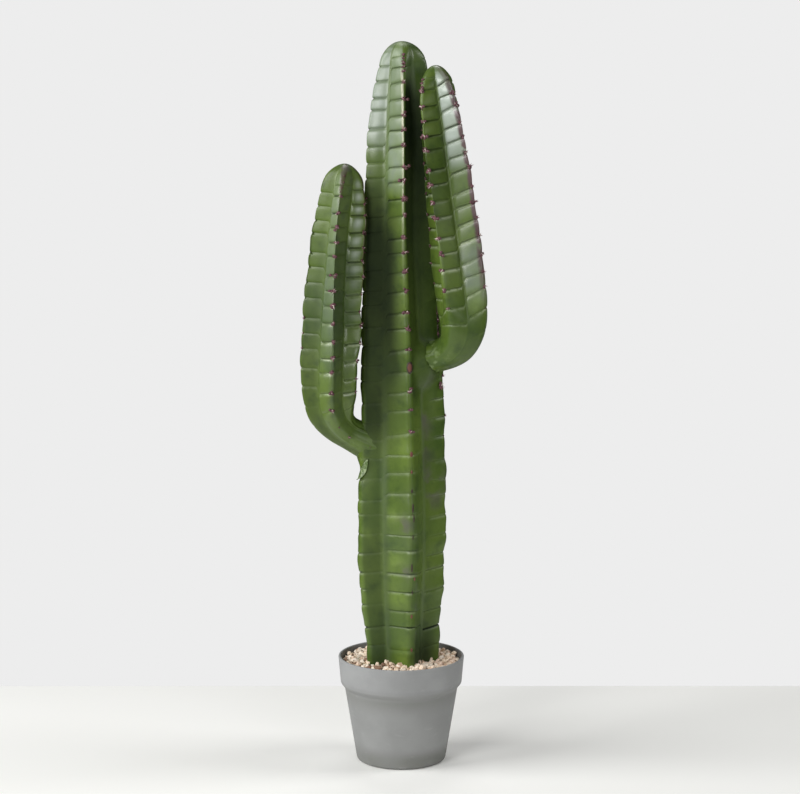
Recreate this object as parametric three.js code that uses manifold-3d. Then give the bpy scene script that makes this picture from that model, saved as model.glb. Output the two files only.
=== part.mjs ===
// Artificial finger cactus in a collar pot: a ribbed trunk with two upturned arms, bedded in gravel.
// Millimetres, +Z up. The origin is the centre of the pot's flat underside, and -Y is the front.

import * as THREE from "three";
import { mergeVertices } from "three/addons/utils/BufferGeometryUtils.js";
import Module from "manifold-3d";

// Overall sizes
const TOTAL_HEIGHT = 900;
const GAP = 0.3; // clearance between neighbouring pieces
const CUT_CLEARANCE = 0.45; // outward growth of the trunk that leaves about GAP on its sloping rib faces

// Pot: a tapered wall, a short under-bevel and a taller collar that ends in a rounded lip
const POT_HEIGHT = 134;
const POT_WALL = 3;
const POT_FLOOR = 4;
const POT_FOOT_RADIUS = 55.5;
const POT_FOOT_ROUND = 5;
const POT_WALL_TOP_RADIUS = 71;
const POT_WALL_TOP = 94;
const COLLAR_FOOT_RADIUS = 76;
const COLLAR_FOOT = 100;
const RIM_RADIUS = 79;
const LIP_WALL = 3.5;
const LIP_ROUND = 2.5;
const POT_SLOPE = (POT_WALL_TOP_RADIUS - POT_FOOT_RADIUS) / POT_WALL_TOP;
const POT_SIDES = 48;
const ROUND_STEPS = 3; // straight steps in each rounded edge

// Gravel: a solid fill with a mounded top, rough at the scale of its chips
const GRAVEL_AT_TRUNK = 131;
const GRAVEL_AT_WALL = 125;
const MOUND_STEEPNESS = 1.6; // the top is level from where the rise is full
const CHIP_RELIEF = 1.4;
const GRAVEL_RINGS = 7;
const GRAVEL_SIDES = 60;

// Ribs: a star section with a narrow flat crest, gently swelling faces and a sharp valley
const CREST_HALF_ANGLE = THREE.MathUtils.degToRad(3);
const FACE_SWELL = 0.035;
const COLUMNS_PER_RIB = 5; // valley, left face, two edges of the crest, right face

// Cross grooves: they climb round the limb like a thread, one turn to each step of the ribs
const GROOVE_DEPTH = 1.8;
const GROOVE_ROWS = [0, 0.14, 0.86]; // parts of one turn: groove bottom, then the ends of the pad above it
const GROOVE_SHARE = [0.35, 1, 0.5, 0.5, 1]; // depth on each column of a rib
const GROOVE_START = -0.15; // where the first groove meets the front, in turns
const TIP_CROWDING = 1.1; // above 1 the grooves draw together towards the tip
const PLAIN_END = 3; // length beside a cut end that holds no row of points
const DOME_ROWS = [0.35, 0.6, 0.8, 0.93]; // rows of the rounded tip, as shares of its height

// Trunk: heights above the ground cut, with the crest radius, the sideways drift and the twist there
const TRUNK_FOOT = 122;
const TRUNK_LENGTH = TOTAL_HEIGHT - TRUNK_FOOT;
const TRUNK_GIRTH = [[0, 47.5], [50, 50.5], [115, 56], [185, 58.5], [325, 53.5], [478, 48.5], [643, 44],
  [703, 38], [755, 29.5], [TRUNK_LENGTH, 26]];
const TRUNK_DRIFT = [[0, -1.5], [180, -3.5], [310, -0.5], [580, -0.5], [TRUNK_LENGTH, 1]];
const TRUNK_TWIST = [[0, 10], [180, 10], [320, 2], [480, 0], [TRUNK_LENGTH, -2]];
const TRUNK_DOME = 24;
const TRUNK_RIBS = 5;
const TRUNK_VALLEY = 0.68;
const TRUNK_RIB_LEAN = 6; // degrees from the middle of the rib to its crest
const TRUNK_GROOVE_PITCH = 24.4;

// Each arm grows close to one upright plane. Places are [reach from the trunk's axis, height, step to the
// front of the plane], and kneeDrop is how far below its base the finger's line still runs straight. At
// shares of the arm's length, girth is the crest radius, valley is the valley against the crest, and facing is
// the angle from the front to the middle of the section: a rib where their count is odd, else a valley.
const LEFT_ARM = {
  name: "left_arm",
  azimuth: 196,
  root: [27, 405, 0],
  neck: [62, 415, 0],
  base: [92.5, 474, 0],
  waist: [91, 610, 0],
  tip: [70.5, 753, 0],
  kneeDrop: 46,
  ribs: 5,
  girth: [[0, 18], [0.115, 20.5], [0.215, 30.5], [0.287, 34.5], [0.44, 35.5], [0.69, 33.5], [0.85, 30],
    [0.937, 27.5], [1, 22]],
  valley: [[0, 0.86], [0.12, 0.8], [0.3, 0.68], [1, 0.68]],
  facing: [[0, 10], [1, 10]],
  dome: 22,
  ribLean: -8,
  groovePitch: 20.5,
};
const RIGHT_ARM = {
  name: "right_arm",
  azimuth: -31.5,
  root: [23, 514, 0],
  neck: [58, 516, 0],
  base: [87.5, 575, 0],
  waist: [73, 690, 9],
  tip: [47, 873, 17],
  kneeDrop: 50,
  ribs: 4,
  girth: [[0, 15.5], [0.1, 20], [0.205, 30.5], [0.257, 33.5], [0.38, 35.5], [0.55, 34.7], [0.72, 33.5],
    [0.83, 30.5], [0.927, 24.5], [1, 16]],
  valley: [[0, 0.95], [0.2, 0.86], [0.3, 0.62], [1, 0.55]],
  facing: [[0, 12], [0.5, 11], [0.75, 3], [1, -8]],
  dome: 20,
  ribLean: 0,
  groovePitch: 21,
};

const wasm = await Module();
wasm.setup();

// Merges the shared corners of a geometry and drops the triangles that this flattens
function closedGeometry(source) {
  const bare = source.clone();
  bare.deleteAttribute("normal");
  bare.deleteAttribute("uv");
  const merged = mergeVertices(bare);
  const corners = merged.index.array;
  const kept = [];
  for (let i = 0; i < corners.length; i += 3) {
    const [a, b, c] = corners.slice(i, i + 3);
    if (a !== b && b !== c && c !== a) kept.push(a, b, c);
  }
  merged.setIndex(kept);
  return merged;
}

function toSolid(geometry) {
  return new wasm.Manifold(new wasm.Mesh({
    numProp: 3,
    vertProperties: new Float32Array(geometry.attributes.position.array),
    triVerts: new Uint32Array(geometry.index.array),
  }));
}

// The largest body of a solid, as a geometry: a cut may leave loose scraps beside it
function toGeometry(solid) {
  const bodies = solid.decompose().sort((a, b) => b.volume() - a.volume());
  const mesh = bodies[0].getMesh();
  const geometry = new THREE.BufferGeometry();
  geometry.setAttribute("position", new THREE.BufferAttribute(mesh.vertProperties, 3));
  geometry.setIndex([...mesh.triVerts]);
  return geometry;
}

// A size that changes smoothly along a length, through a few stations of [place, size]
function along(stations) {
  const places = stations.map(([place]) => place);
  const sizes = stations.map(([, size]) => size);
  const curve = new THREE.CubicInterpolant(places, sizes, 1);
  return (place) => curve.evaluate(THREE.MathUtils.clamp(place, places[0], places.at(-1)))[0];
}

// The star section: angle from the middle of its rib, and reach as a share of the crest radius
function ribColumn(column, ribAngle, lean, valley) {
  const polar = (angle, reach) => new THREE.Vector2(Math.cos(angle), Math.sin(angle)).multiplyScalar(reach);
  const leftValley = polar(-ribAngle / 2, valley);
  const rightValley = polar(ribAngle / 2, valley);
  const leftEdge = polar(lean - CREST_HALF_ANGLE, 1);
  const rightEdge = polar(lean + CREST_HALF_ANGLE, 1);
  const face = (from, to) => from.clone().lerp(to, 0.5).multiplyScalar(1 + FACE_SWELL);
  const leftFace = face(leftValley, leftEdge);
  const rightFace = face(rightEdge, rightValley);
  const corner = [leftValley, leftFace, leftEdge, rightEdge, rightFace][column];
  return { angle: Math.atan2(corner.y, corner.x), reach: corner.length() };
}

// One point of a limb's skin at the length s, on a column of its section
function skinPoint(limb, s, column, inGroove, grow) {
  const rib = Math.floor(column / COLUMNS_PER_RIB);
  const part = column % COLUMNS_PER_RIB;
  const ribAngle = 2 * Math.PI / limb.ribs;
  const { angle, reach } = ribColumn(part, ribAngle, limb.lean, limb.valley(s));
  const turned = limb.twist(s) + (rib - (limb.ribs - 1) / 2) * ribAngle + angle;
  const intoDome = THREE.MathUtils.clamp((s - limb.length + limb.dome) / limb.dome, 0, 1);
  const crest = limb.girth(s) * Math.sqrt(1 - intoDome * intoDome);
  const groove = inGroove ? GROOVE_DEPTH * GROOVE_SHARE[part] * (1 - intoDome) : 0;
  const out = crest * reach - groove + grow;
  const { centre, front, right } = limb.frame(s);
  return centre.addScaledVector(front, out * Math.cos(turned)).addScaledVector(right, out * Math.sin(turned));
}

// A closed skin over the stretch from one length to another. The rows follow the groove thread, so the
// last column meets the first one a whole turn higher. The stretch ends in flat cuts, or in the limb's tip.
function skinGeometry(limb, from, to, grow = 0) {
  const endsInTip = to >= limb.length;
  const wallEnd = endsInTip ? limb.length - limb.dome : to;
  const lengthAtTurn = (turn) => {
    const share = THREE.MathUtils.clamp(turn / limb.turns, 0, 1);
    return limb.length * (1 - (1 - share) ** TIP_CROWDING);
  };
  const columns = limb.ribs * COLUMNS_PER_RIB;
  const rowsPerTurn = GROOVE_ROWS.length;
  const wallRows = (Math.ceil(limb.turns) + 2) * rowsPerTurn;
  const domeRows = endsInTip ? DOME_ROWS.length : 0;
  const rowCount = 1 + wallRows + domeRows + 1;

  const drum = Array.from({ length: rowCount }, (_, row) => {
    return new THREE.Vector2(row === 0 || row === rowCount - 1 ? 0 : 1, row);
  });
  const geometry = new THREE.LatheGeometry(drum, columns);
  const position = geometry.attributes.position;
  const place = (column, row) => {
    if (row === 0) return limb.frame(from).centre;
    if (row === rowCount - 1) return limb.frame(to).centre;
    const wrapped = column % columns;
    const intoDome = row - 1 - wallRows;
    if (intoDome >= 0) {
      return skinPoint(limb, wallEnd + limb.dome * DOME_ROWS[intoDome], wrapped, false, grow);
    }
    const wallRow = row - 1 + (column === columns ? rowsPerTurn : 0);
    const turn = Math.floor(wallRow / rowsPerTurn) - 1 + GROOVE_ROWS[wallRow % rowsPerTurn];
    const s = lengthAtTurn(turn + wrapped / columns + GROOVE_START);
    if (s < from + PLAIN_END) return skinPoint(limb, from, wrapped, false, grow);
    if (s > wallEnd - PLAIN_END) return skinPoint(limb, wallEnd, wrapped, false, grow);
    return skinPoint(limb, s, wrapped, wallRow % rowsPerTurn === 0, grow);
  };
  for (let column = 0; column <= columns; column++) {
    for (let row = 0; row < rowCount; row++) {
      const point = place(column, row);
      position.setXYZ(column * rowCount + row, point.x, point.y, point.z);
    }
  }
  return closedGeometry(geometry);
}

function trunkLimb() {
  const drift = along(TRUNK_DRIFT);
  const twist = along(TRUNK_TWIST);
  return {
    length: TRUNK_LENGTH,
    dome: TRUNK_DOME,
    ribs: TRUNK_RIBS,
    lean: THREE.MathUtils.degToRad(TRUNK_RIB_LEAN),
    turns: TRUNK_LENGTH / TRUNK_GROOVE_PITCH,
    girth: along(TRUNK_GIRTH),
    valley: () => TRUNK_VALLEY,
    twist: (s) => THREE.MathUtils.degToRad(twist(s)),
    frame: (s) => ({
      centre: new THREE.Vector3(drift(s), 0, TRUNK_FOOT + s),
      front: new THREE.Vector3(0, -1, 0),
      right: new THREE.Vector3(1, 0, 0),
    }),
  };
}

function armLimb(arm) {
  const azimuth = THREE.MathUtils.degToRad(arm.azimuth);
  const outward = new THREE.Vector3(Math.cos(azimuth), Math.sin(azimuth), 0);
  const at = ([reach, height, forward]) => {
    return outward.clone().multiplyScalar(reach).add(new THREE.Vector3(0, -forward, height));
  };
  const [root, neck, base, waist, tip] = [arm.root, arm.neck, arm.base, arm.waist, arm.tip].map(at);
  const knee = base.clone().addScaledVector(base.clone().sub(waist).normalize(), arm.kneeDrop);
  const elbow = new THREE.CubicBezierCurve3(root, neck, knee, base);
  const finger = new THREE.QuadraticBezierCurve3(base, waist, tip);
  const path = new THREE.CurvePath();
  path.add(elbow);
  path.add(finger);
  const length = path.getLength();
  const share = (stations) => along(stations.map(([part, size]) => [part * length, size]));

  // The side of the bending plane that faces the front, and how far it is turned from the true front
  const side = new THREE.Vector3(-outward.y, outward.x, 0);
  if (side.y > 0) side.negate();
  const sideAngle = Math.atan2(side.x, -side.y);
  const facing = share(arm.facing);
  return {
    length,
    bend: elbow.getLength(),
    dome: arm.dome,
    ribs: arm.ribs,
    lean: THREE.MathUtils.degToRad(arm.ribLean),
    turns: length / arm.groovePitch,
    girth: share(arm.girth),
    valley: share(arm.valley),
    twist: (s) => THREE.MathUtils.degToRad(facing(s)) - sideAngle,
    frame: (s) => {
      const part = THREE.MathUtils.clamp(s / length, 0, 1);
      const tangent = path.getTangent(part);
      const right = tangent.clone().cross(side).normalize();
      return { centre: path.getPoint(part), front: right.clone().cross(tangent), right };
    },
  };
}

function latheUp(outline, sides) {
  return new THREE.LatheGeometry(outline, sides).rotateX(Math.PI / 2);
}

function potGeometry() {
  const innerRim = RIM_RADIUS - LIP_WALL;
  const outline = new THREE.Path();
  outline.moveTo(0, 0);
  outline.lineTo(POT_FOOT_RADIUS - POT_FOOT_ROUND, 0);
  outline.quadraticCurveTo(POT_FOOT_RADIUS, 0, POT_FOOT_RADIUS + POT_SLOPE * POT_FOOT_ROUND, POT_FOOT_ROUND);
  outline.lineTo(POT_WALL_TOP_RADIUS, POT_WALL_TOP);
  outline.lineTo(COLLAR_FOOT_RADIUS, COLLAR_FOOT);
  outline.lineTo(RIM_RADIUS, POT_HEIGHT - LIP_ROUND);
  outline.quadraticCurveTo(RIM_RADIUS, POT_HEIGHT, (RIM_RADIUS + innerRim) / 2, POT_HEIGHT);
  outline.quadraticCurveTo(innerRim, POT_HEIGHT, innerRim, POT_HEIGHT - LIP_ROUND);
  outline.lineTo(COLLAR_FOOT_RADIUS - POT_WALL, COLLAR_FOOT);
  outline.lineTo(POT_WALL_TOP_RADIUS - POT_WALL, POT_WALL_TOP);
  outline.lineTo(POT_FOOT_RADIUS - POT_WALL + POT_SLOPE * POT_FLOOR, POT_FLOOR);
  outline.lineTo(0, POT_FLOOR);
  return closedGeometry(latheUp(outline.getPoints(ROUND_STEPS), POT_SIDES));
}

// A steady unevenness between -1 and 1 for each place on the gravel's top
function chipHeight(ring, side) {
  const mixed = Math.sin(ring * 12.9898 + (side % GRAVEL_SIDES) * 78.233) * 43758.5453;
  return 2 * (mixed - Math.floor(mixed)) - 1;
}

function gravelGeometry(trunkCutter) {
  const inset = POT_WALL + GAP;
  const foot = POT_FLOOR + GAP;
  const collarWidening = RIM_RADIUS - LIP_WALL - (COLLAR_FOOT_RADIUS - POT_WALL);
  const collarSlope = collarWidening / (POT_HEIGHT - LIP_ROUND - COLLAR_FOOT);
  const edge = COLLAR_FOOT_RADIUS - inset + collarSlope * (GRAVEL_AT_WALL - CHIP_RELIEF - COLLAR_FOOT);
  const outline = [
    new THREE.Vector2(0, foot),
    new THREE.Vector2(POT_FOOT_RADIUS - inset + POT_SLOPE * foot, foot),
    new THREE.Vector2(POT_WALL_TOP_RADIUS - inset, POT_WALL_TOP),
    new THREE.Vector2(COLLAR_FOOT_RADIUS - inset, COLLAR_FOOT),
    new THREE.Vector2(edge, GRAVEL_AT_WALL - CHIP_RELIEF),
  ];
  const firstRing = outline.length;
  for (let ring = 0; ring < GRAVEL_RINGS; ring++) {
    const inward = (ring + 0.5) / GRAVEL_RINGS;
    const rise = (GRAVEL_AT_TRUNK - GRAVEL_AT_WALL) * Math.min(1, MOUND_STEEPNESS * inward);
    outline.push(new THREE.Vector2(edge * (1 - inward), GRAVEL_AT_WALL + rise));
  }
  outline.push(new THREE.Vector2(0, GRAVEL_AT_TRUNK));

  const geometry = latheUp(outline, GRAVEL_SIDES);
  const position = geometry.attributes.position;
  for (let side = 0; side <= GRAVEL_SIDES; side++) {
    for (let ring = 0; ring < GRAVEL_RINGS; ring++) {
      const corner = side * outline.length + firstRing + ring;
      position.setZ(corner, position.getZ(corner) + CHIP_RELIEF * chipHeight(ring, side));
    }
  }
  return toGeometry(toSolid(closedGeometry(geometry)).subtract(trunkCutter));
}

function addMesh(group, name, geometry, color, roughness) {
  geometry.computeVertexNormals();
  const mesh = new THREE.Mesh(geometry, new THREE.MeshStandardMaterial({ color, roughness, metalness: 0 }));
  mesh.name = name;
  group.add(mesh);
}

// The trunk's space with its clearance: grown all round, and sunk by the gap under its flat cut
function clearedTrunk(trunk) {
  const sunkFrame = (s) => {
    const frame = trunk.frame(s);
    if (s <= 0) frame.centre.z -= GAP;
    return frame;
  };
  return toSolid(skinGeometry({ ...trunk, frame: sunkFrame }, 0, trunk.length, CUT_CLEARANCE));
}

const trunk = trunkLimb();
const trunkCutter = clearedTrunk(trunk);

const cactus = new THREE.Group();
cactus.name = "finger_cactus";
addMesh(cactus, "pot", potGeometry(), "#9b9b98", 0.6);
addMesh(cactus, "gravel_fill", gravelGeometry(trunkCutter), "#cdb79c", 0.9);
addMesh(cactus, "trunk", skinGeometry(trunk, 0, trunk.length), "#547634", 0.38);
for (const arm of [LEFT_ARM, RIGHT_ARM]) {
  const limb = armLimb(arm);
  const elbow = toSolid(skinGeometry(limb, 0, limb.bend - GAP / 2));
  const finger = skinGeometry(limb, limb.bend + GAP / 2, limb.length);
  addMesh(cactus, `${arm.name}_elbow`, toGeometry(elbow.subtract(trunkCutter)), "#4f7032", 0.38);
  addMesh(cactus, `${arm.name}_finger`, finger, "#5b7d3a", 0.38);
}

export default cactus;
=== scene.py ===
# %% [markdown]
# # An artificial finger cactus in a collar pot
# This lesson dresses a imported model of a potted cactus: a ribbed trunk with two upturned arms, bedded in
# gravel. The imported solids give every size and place. Each of them is replaced here by a finer mesh of
# the same form, and each finish is a small node tree. Sizes are written in millimetres, as on a drawing,
# and MM turns them into Blender's metres.

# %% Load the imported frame
import math
import random

import bmesh
import bpy
import numpy as np
from mathutils import Matrix, Vector


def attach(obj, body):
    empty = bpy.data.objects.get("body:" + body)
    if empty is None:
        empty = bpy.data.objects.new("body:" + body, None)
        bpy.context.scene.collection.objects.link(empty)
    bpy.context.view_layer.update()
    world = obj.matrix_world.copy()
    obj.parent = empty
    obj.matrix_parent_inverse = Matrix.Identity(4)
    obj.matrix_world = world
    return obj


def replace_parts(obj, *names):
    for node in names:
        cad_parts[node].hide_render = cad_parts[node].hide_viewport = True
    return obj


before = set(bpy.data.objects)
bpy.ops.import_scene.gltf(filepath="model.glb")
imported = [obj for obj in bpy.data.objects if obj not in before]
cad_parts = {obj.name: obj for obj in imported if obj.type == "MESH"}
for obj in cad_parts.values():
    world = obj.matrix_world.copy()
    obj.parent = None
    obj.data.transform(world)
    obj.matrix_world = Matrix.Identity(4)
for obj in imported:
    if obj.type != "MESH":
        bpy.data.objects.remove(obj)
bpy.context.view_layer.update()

MM = 0.001
scene = bpy.context.scene
print("nodes to dress:", sorted(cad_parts))

# %% [markdown]
# ## The camera
# The plant was seen from three and a half metres, a little above its tip, through a long lens. A long
# lens keeps the trunk's sides nearly parallel, so the distance matters more than the lens itself. The
# camera is placed by numbers and not by a tracking constraint, because other views move it round the
# plant.

# %% Set the camera
CAMERA_PLACE = (-0.0015, -3.42, 1.036)
CAMERA_DIP = 9.52  # degrees below level
CAMERA_LENS = 126.03  # millimetres
SENSOR_WIDTH = 36

camera_data = bpy.data.cameras.new("camera")
camera_data.sensor_width = SENSOR_WIDTH
camera_data.lens = CAMERA_LENS
camera = bpy.data.objects.new("camera", camera_data)
camera.location = CAMERA_PLACE
camera.rotation_euler = (math.radians(90 - CAMERA_DIP), 0, 0)
scene.collection.objects.link(camera)
scene.camera = camera
print("camera at", CAMERA_PLACE)

# %% [markdown]
# ## Writing shaders as sums
# A node tree is easier to read as arithmetic than as a list of links. `Value` wraps one socket, so that
# `1 - mask` adds a Math node by itself. `Shader` adds any other node: its type, then its settings, then
# its sockets. Colours are mixed by Mix nodes, since a Math node would turn them grey.

# %% Wrap a socket
class Value:
    """One output socket: arithmetic on it adds Math nodes."""

    def __init__(self, shader, socket):
        self.shader = shader
        self.socket = socket

    def math(self, operation, first, second):
        return self.shader.node("ShaderNodeMath", {"operation": operation}, {0: first, 1: second})

    def __add__(self, other):
        return self.math("ADD", self, other)

    def __sub__(self, other):
        return self.math("SUBTRACT", self, other)

    def __rsub__(self, other):
        return self.math("SUBTRACT", other, self)

    def __mul__(self, other):
        return self.math("MULTIPLY", self, other)

    __radd__ = __add__
    __rmul__ = __mul__


print("sockets can be added, subtracted and multiplied")

# %% Wrap a node tree
class Shader:
    """A node tree under construction, with short names for the patterns used below."""

    def __init__(self, tree):
        self.tree = tree
        tree.nodes.clear()

    def node(self, kind, settings, sockets, output=0):
        made = self.tree.nodes.new(kind)
        for name, value in settings.items():
            setattr(made, name, value)
        for key, value in sockets.items():
            if isinstance(value, Value):
                self.tree.links.new(value.socket, made.inputs[key])
            else:
                made.inputs[key].default_value = value
        return Value(self, made.outputs[output]) if made.outputs else None

    def place(self, stretch=(1, 1, 1)):
        spot = self.node("ShaderNodeTexCoord", {}, {}, "Object")
        return self.node("ShaderNodeMapping", {}, {"Vector": spot, "Scale": stretch})

    def noise(self, scale, detail=2.0, stretch=(1, 1, 1)):
        sockets = {"Vector": self.place(stretch), "Scale": scale, "Detail": detail}
        return self.node("ShaderNodeTexNoise", {}, sockets)

    def fade(self, value, low, high):
        sockets = {"Value": value, "From Min": low, "From Max": high}
        return self.node("ShaderNodeMapRange", {"interpolation_type": "SMOOTHSTEP"}, sockets)

    def mask(self, name):
        return self.node("ShaderNodeAttribute", {"attribute_name": name}, {}, "Fac")

    def paint(self, amount, under, over):
        return self.node("ShaderNodeMix", {"data_type": "RGBA"}, {0: amount, 6: under, 7: over}, 2)

    def bump(self, height, distance, strength):
        sockets = {"Height": height, "Distance": distance, "Strength": strength}
        return self.node("ShaderNodeBump", {}, sockets)

    def surface(self, **sockets):
        """A principled surface, its sockets named as in base_color for Base Color."""
        named = {}
        for name, value in sockets.items():
            named[name.replace("_", " ").title().replace("Ior", "IOR")] = value
        shading = self.node("ShaderNodeBsdfPrincipled", {}, named)
        self.node("ShaderNodeOutputMaterial", {}, {"Surface": shading})


print("node trees can be written as sums")

# %% Name a colour and start a finish
def srgb(red, green, blue):
    """A shader's linear colour from the 0 to 255 values of a paint chart."""
    parts = [part / 255 for part in (red, green, blue)]
    return (*(p / 12.92 if p <= 0.04045 else ((p + 0.055) / 1.055) ** 2.4 for p in parts), 1.0)


def new_finish(name):
    material = bpy.data.materials.new(name)
    material.use_nodes = True
    return material, Shader(material.node_tree)


print("a chart's middle grey in a shader's numbers:", round(srgb(119, 119, 119)[0], 2))

# %% [markdown]
# ## Floor, air and lamps
# The plant stands on a pale table in a bright room. A wide window on the left gives the contrast between
# the rib faces. A lamp at the camera's left puts a soft shine on the upper pads, and a weak one at its
# right opens the shadows. Two more, on the right and behind, draw bright edges and light the table. One
# bright dome would be simpler, but lamps can be turned up one by one. The air is a plain background: the
# camera sees it pale, while the plant is lit by a dim shade of it, so that faces turned to the right stay
# dark.

# %% Lay the floor
FLOOR_SIDE = 0.75  # half its width, in metres
FLOOR_BACK = 0.338  # its far edge


def add_floor():
    material, shader = new_finish("pale_table")
    cloud = shader.noise(3.0)
    colour = shader.paint(cloud, srgb(250, 250, 246), srgb(254, 254, 251))
    shader.surface(base_color=colour, roughness=0.7)
    bm = bmesh.new()
    bmesh.ops.create_grid(bm, x_segments=1, y_segments=1, size=FLOOR_SIDE)
    bmesh.ops.translate(bm, verts=bm.verts, vec=(0, FLOOR_BACK - FLOOR_SIDE, 0))
    mesh = bpy.data.meshes.new("floor")
    bm.to_mesh(mesh)
    bm.free()
    mesh.materials.append(material)
    floor = bpy.data.objects.new("floor", mesh)
    scene.collection.objects.link(floor)


add_floor()
print("a floor of", 2 * FLOOR_SIDE, "m")

# %% Light the plant
LAMP_AIM = (0, 0, 0.5)
AIR_SEEN = 1.0  # how bright the air is to the camera
AIR_FELT = 0.03  # how strongly it lights the plant


def add_lamp(name, azimuth, elevation, distance, width, height, power):
    """A soft lamp round the plant: azimuth in degrees from the front to the right, aimed at its middle."""
    aim = Vector(LAMP_AIM)
    level = math.cos(math.radians(elevation)) * distance
    turn = math.radians(azimuth)
    rise = math.sin(math.radians(elevation)) * distance
    data = bpy.data.lights.new(name, "AREA")
    data.shape = "RECTANGLE"
    data.size = width
    data.size_y = height
    data.energy = power
    lamp = bpy.data.objects.new(name, data)
    lamp.location = aim + Vector((math.sin(turn) * level, -math.cos(turn) * level, rise))
    lamp.rotation_euler = (aim - lamp.location).to_track_quat("-Z", "Y").to_euler()
    scene.collection.objects.link(lamp)


def add_air():
    world = bpy.data.worlds.new("air")
    world.use_nodes = True
    scene.world = world
    shader = Shader(world.node_tree)
    seen = shader.node("ShaderNodeBackground", {}, {"Color": srgb(237, 237, 237), "Strength": AIR_SEEN})
    felt = shader.node("ShaderNodeBackground", {}, {"Color": (1, 1, 1, 1), "Strength": AIR_FELT})
    by_camera = shader.node("ShaderNodeLightPath", {}, {}, "Is Camera Ray")
    mixed = shader.node("ShaderNodeMixShader", {}, {0: by_camera, 1: felt, 2: seen})
    shader.node("ShaderNodeOutputWorld", {}, {"Surface": mixed})


add_air()
add_lamp("window", azimuth=-76, elevation=30, distance=3.0, width=1.9, height=2.2, power=74)
add_lamp("shine", azimuth=-32, elevation=15, distance=2.4, width=0.95, height=0.85, power=27)
add_lamp("front", azimuth=25, elevation=8, distance=2.4, width=1.0, height=0.8, power=8)
add_lamp("right", azimuth=92, elevation=34, distance=2.2, width=1.0, height=1.0, power=20)
add_lamp("back", azimuth=180, elevation=60, distance=2.4, width=1.2, height=0.8, power=13)
scene.view_settings.view_transform = "Standard"
print("air and five lamps")

# %% [markdown]
# ## How a limb grows
# Trunk and arms follow one rule. A line runs up the middle of the limb. Round it stands a star section:
# every rib has a narrow crest, two gently swelling faces and a valley on either side. Girth, valley,
# twist and drift change smoothly through a few stations. A long table of points would give the same
# shape, but a rule can be carried to any fineness and changed in one place.

# %% Make sizes change smoothly
def along(stations):
    """A size that changes smoothly through stations of (place, size)."""
    places, sizes = np.array(stations, float).T
    chords = np.diff(sizes) / np.diff(places)
    slopes = np.concatenate([chords[:1], (chords[:-1] + chords[1:]) / 2, chords[-1:]])

    def size_at(place):
        place = np.clip(place, places[0], places[-1])
        i = np.clip(np.searchsorted(places, place) - 1, 0, len(places) - 2)
        span = places[i + 1] - places[i]
        t = (place - places[i]) / span
        from_left = (1 + 2 * t) * (1 - t) ** 2 * sizes[i] + t * (1 - t) ** 2 * span * slopes[i]
        from_right = t * t * (3 - 2 * t) * sizes[i + 1] + t * t * (t - 1) * span * slopes[i + 1]
        return from_left + from_right

    return size_at


def bezier(points, steps):
    """Points along a Bezier curve: at each step, the same share of the way between all its handles."""
    t = np.linspace(0, 1, steps + 1)[:, None]
    rows = [np.broadcast_to(point, (steps + 1, 3)) for point in points]
    while len(rows) > 1:
        rows = [a + (b - a) * t for a, b in zip(rows, rows[1:])]
    return rows[0]


def unit(vectors):
    return vectors / np.linalg.norm(vectors, axis=-1, keepdims=True)


def ease(value, low, high):
    """0 below low, 1 above high, with a soft start and end between."""
    t = np.clip((value - low) / (high - low), 0, 1)
    return t * t * (3 - 2 * t)


print("halfway from 0 to 10:", along([(0, 0), (1, 10)])(0.5))

# %% [markdown]
# ## What is known of a limb
# Sizes that hold for a whole limb are plain numbers. A list of (share, value) changes along the limb,
# from its foot at 0 to its tip at 1. A table holds such lists for single ribs, or for single faces of
# ribs, the left one (-1) or the right one (1). All this could be sculpted by hand, but numbers can be
# read and changed.
#
# Ribs are counted round from the back. Of five, number 2 looks at the camera, with 1 on its left and 3 on
# its right. Of the right arm's four, 1 and 2 look at it.
#
# Of the lists, `girth` is the radius of the crests and `valley` the valleys' share of it. `wave` is how
# uneven the ribs are, and `facing` turns them all, in degrees. `pillow` and `groove` are the height of
# the pads and the depth of the grooves between them, and `dark` is how much painted shade darkens the
# grooves. Two more give how much painted highlight lies on the pads' lips, and how strongly painted
# highlights of folds lie on an arm's neck.

# %% Hold a limb's line and sizes
RIB_TABLES = (
    "lag",  # moves a rib's grooves up, in steps of the pitch
    "slope",  # adds to the slant of its grooves
    "sway",  # turns it aside, in degrees
    "swell",  # thickens it, in millimetres
    "stripe",  # how worn or stained its crest is, and on the trunk how strong a painted cream highlight is
    "tufts",  # the size of its tufts, in millimetres
)
FACE_TABLES = (
    "tone",  # above 0 how much painted sheen a face has, below 0 how much painted shade
    "sunny",  # how yellowish
    "gloss",  # how strong its clear coat is
    "painted_gleam",  # a painted highlight in the middle of each pad
    "smooth",  # how much of the pads' relief is lost
    "margin",  # a strip without pads beside the valley
)
NOWHERE = ((0, 0), (1, 0))


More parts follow.
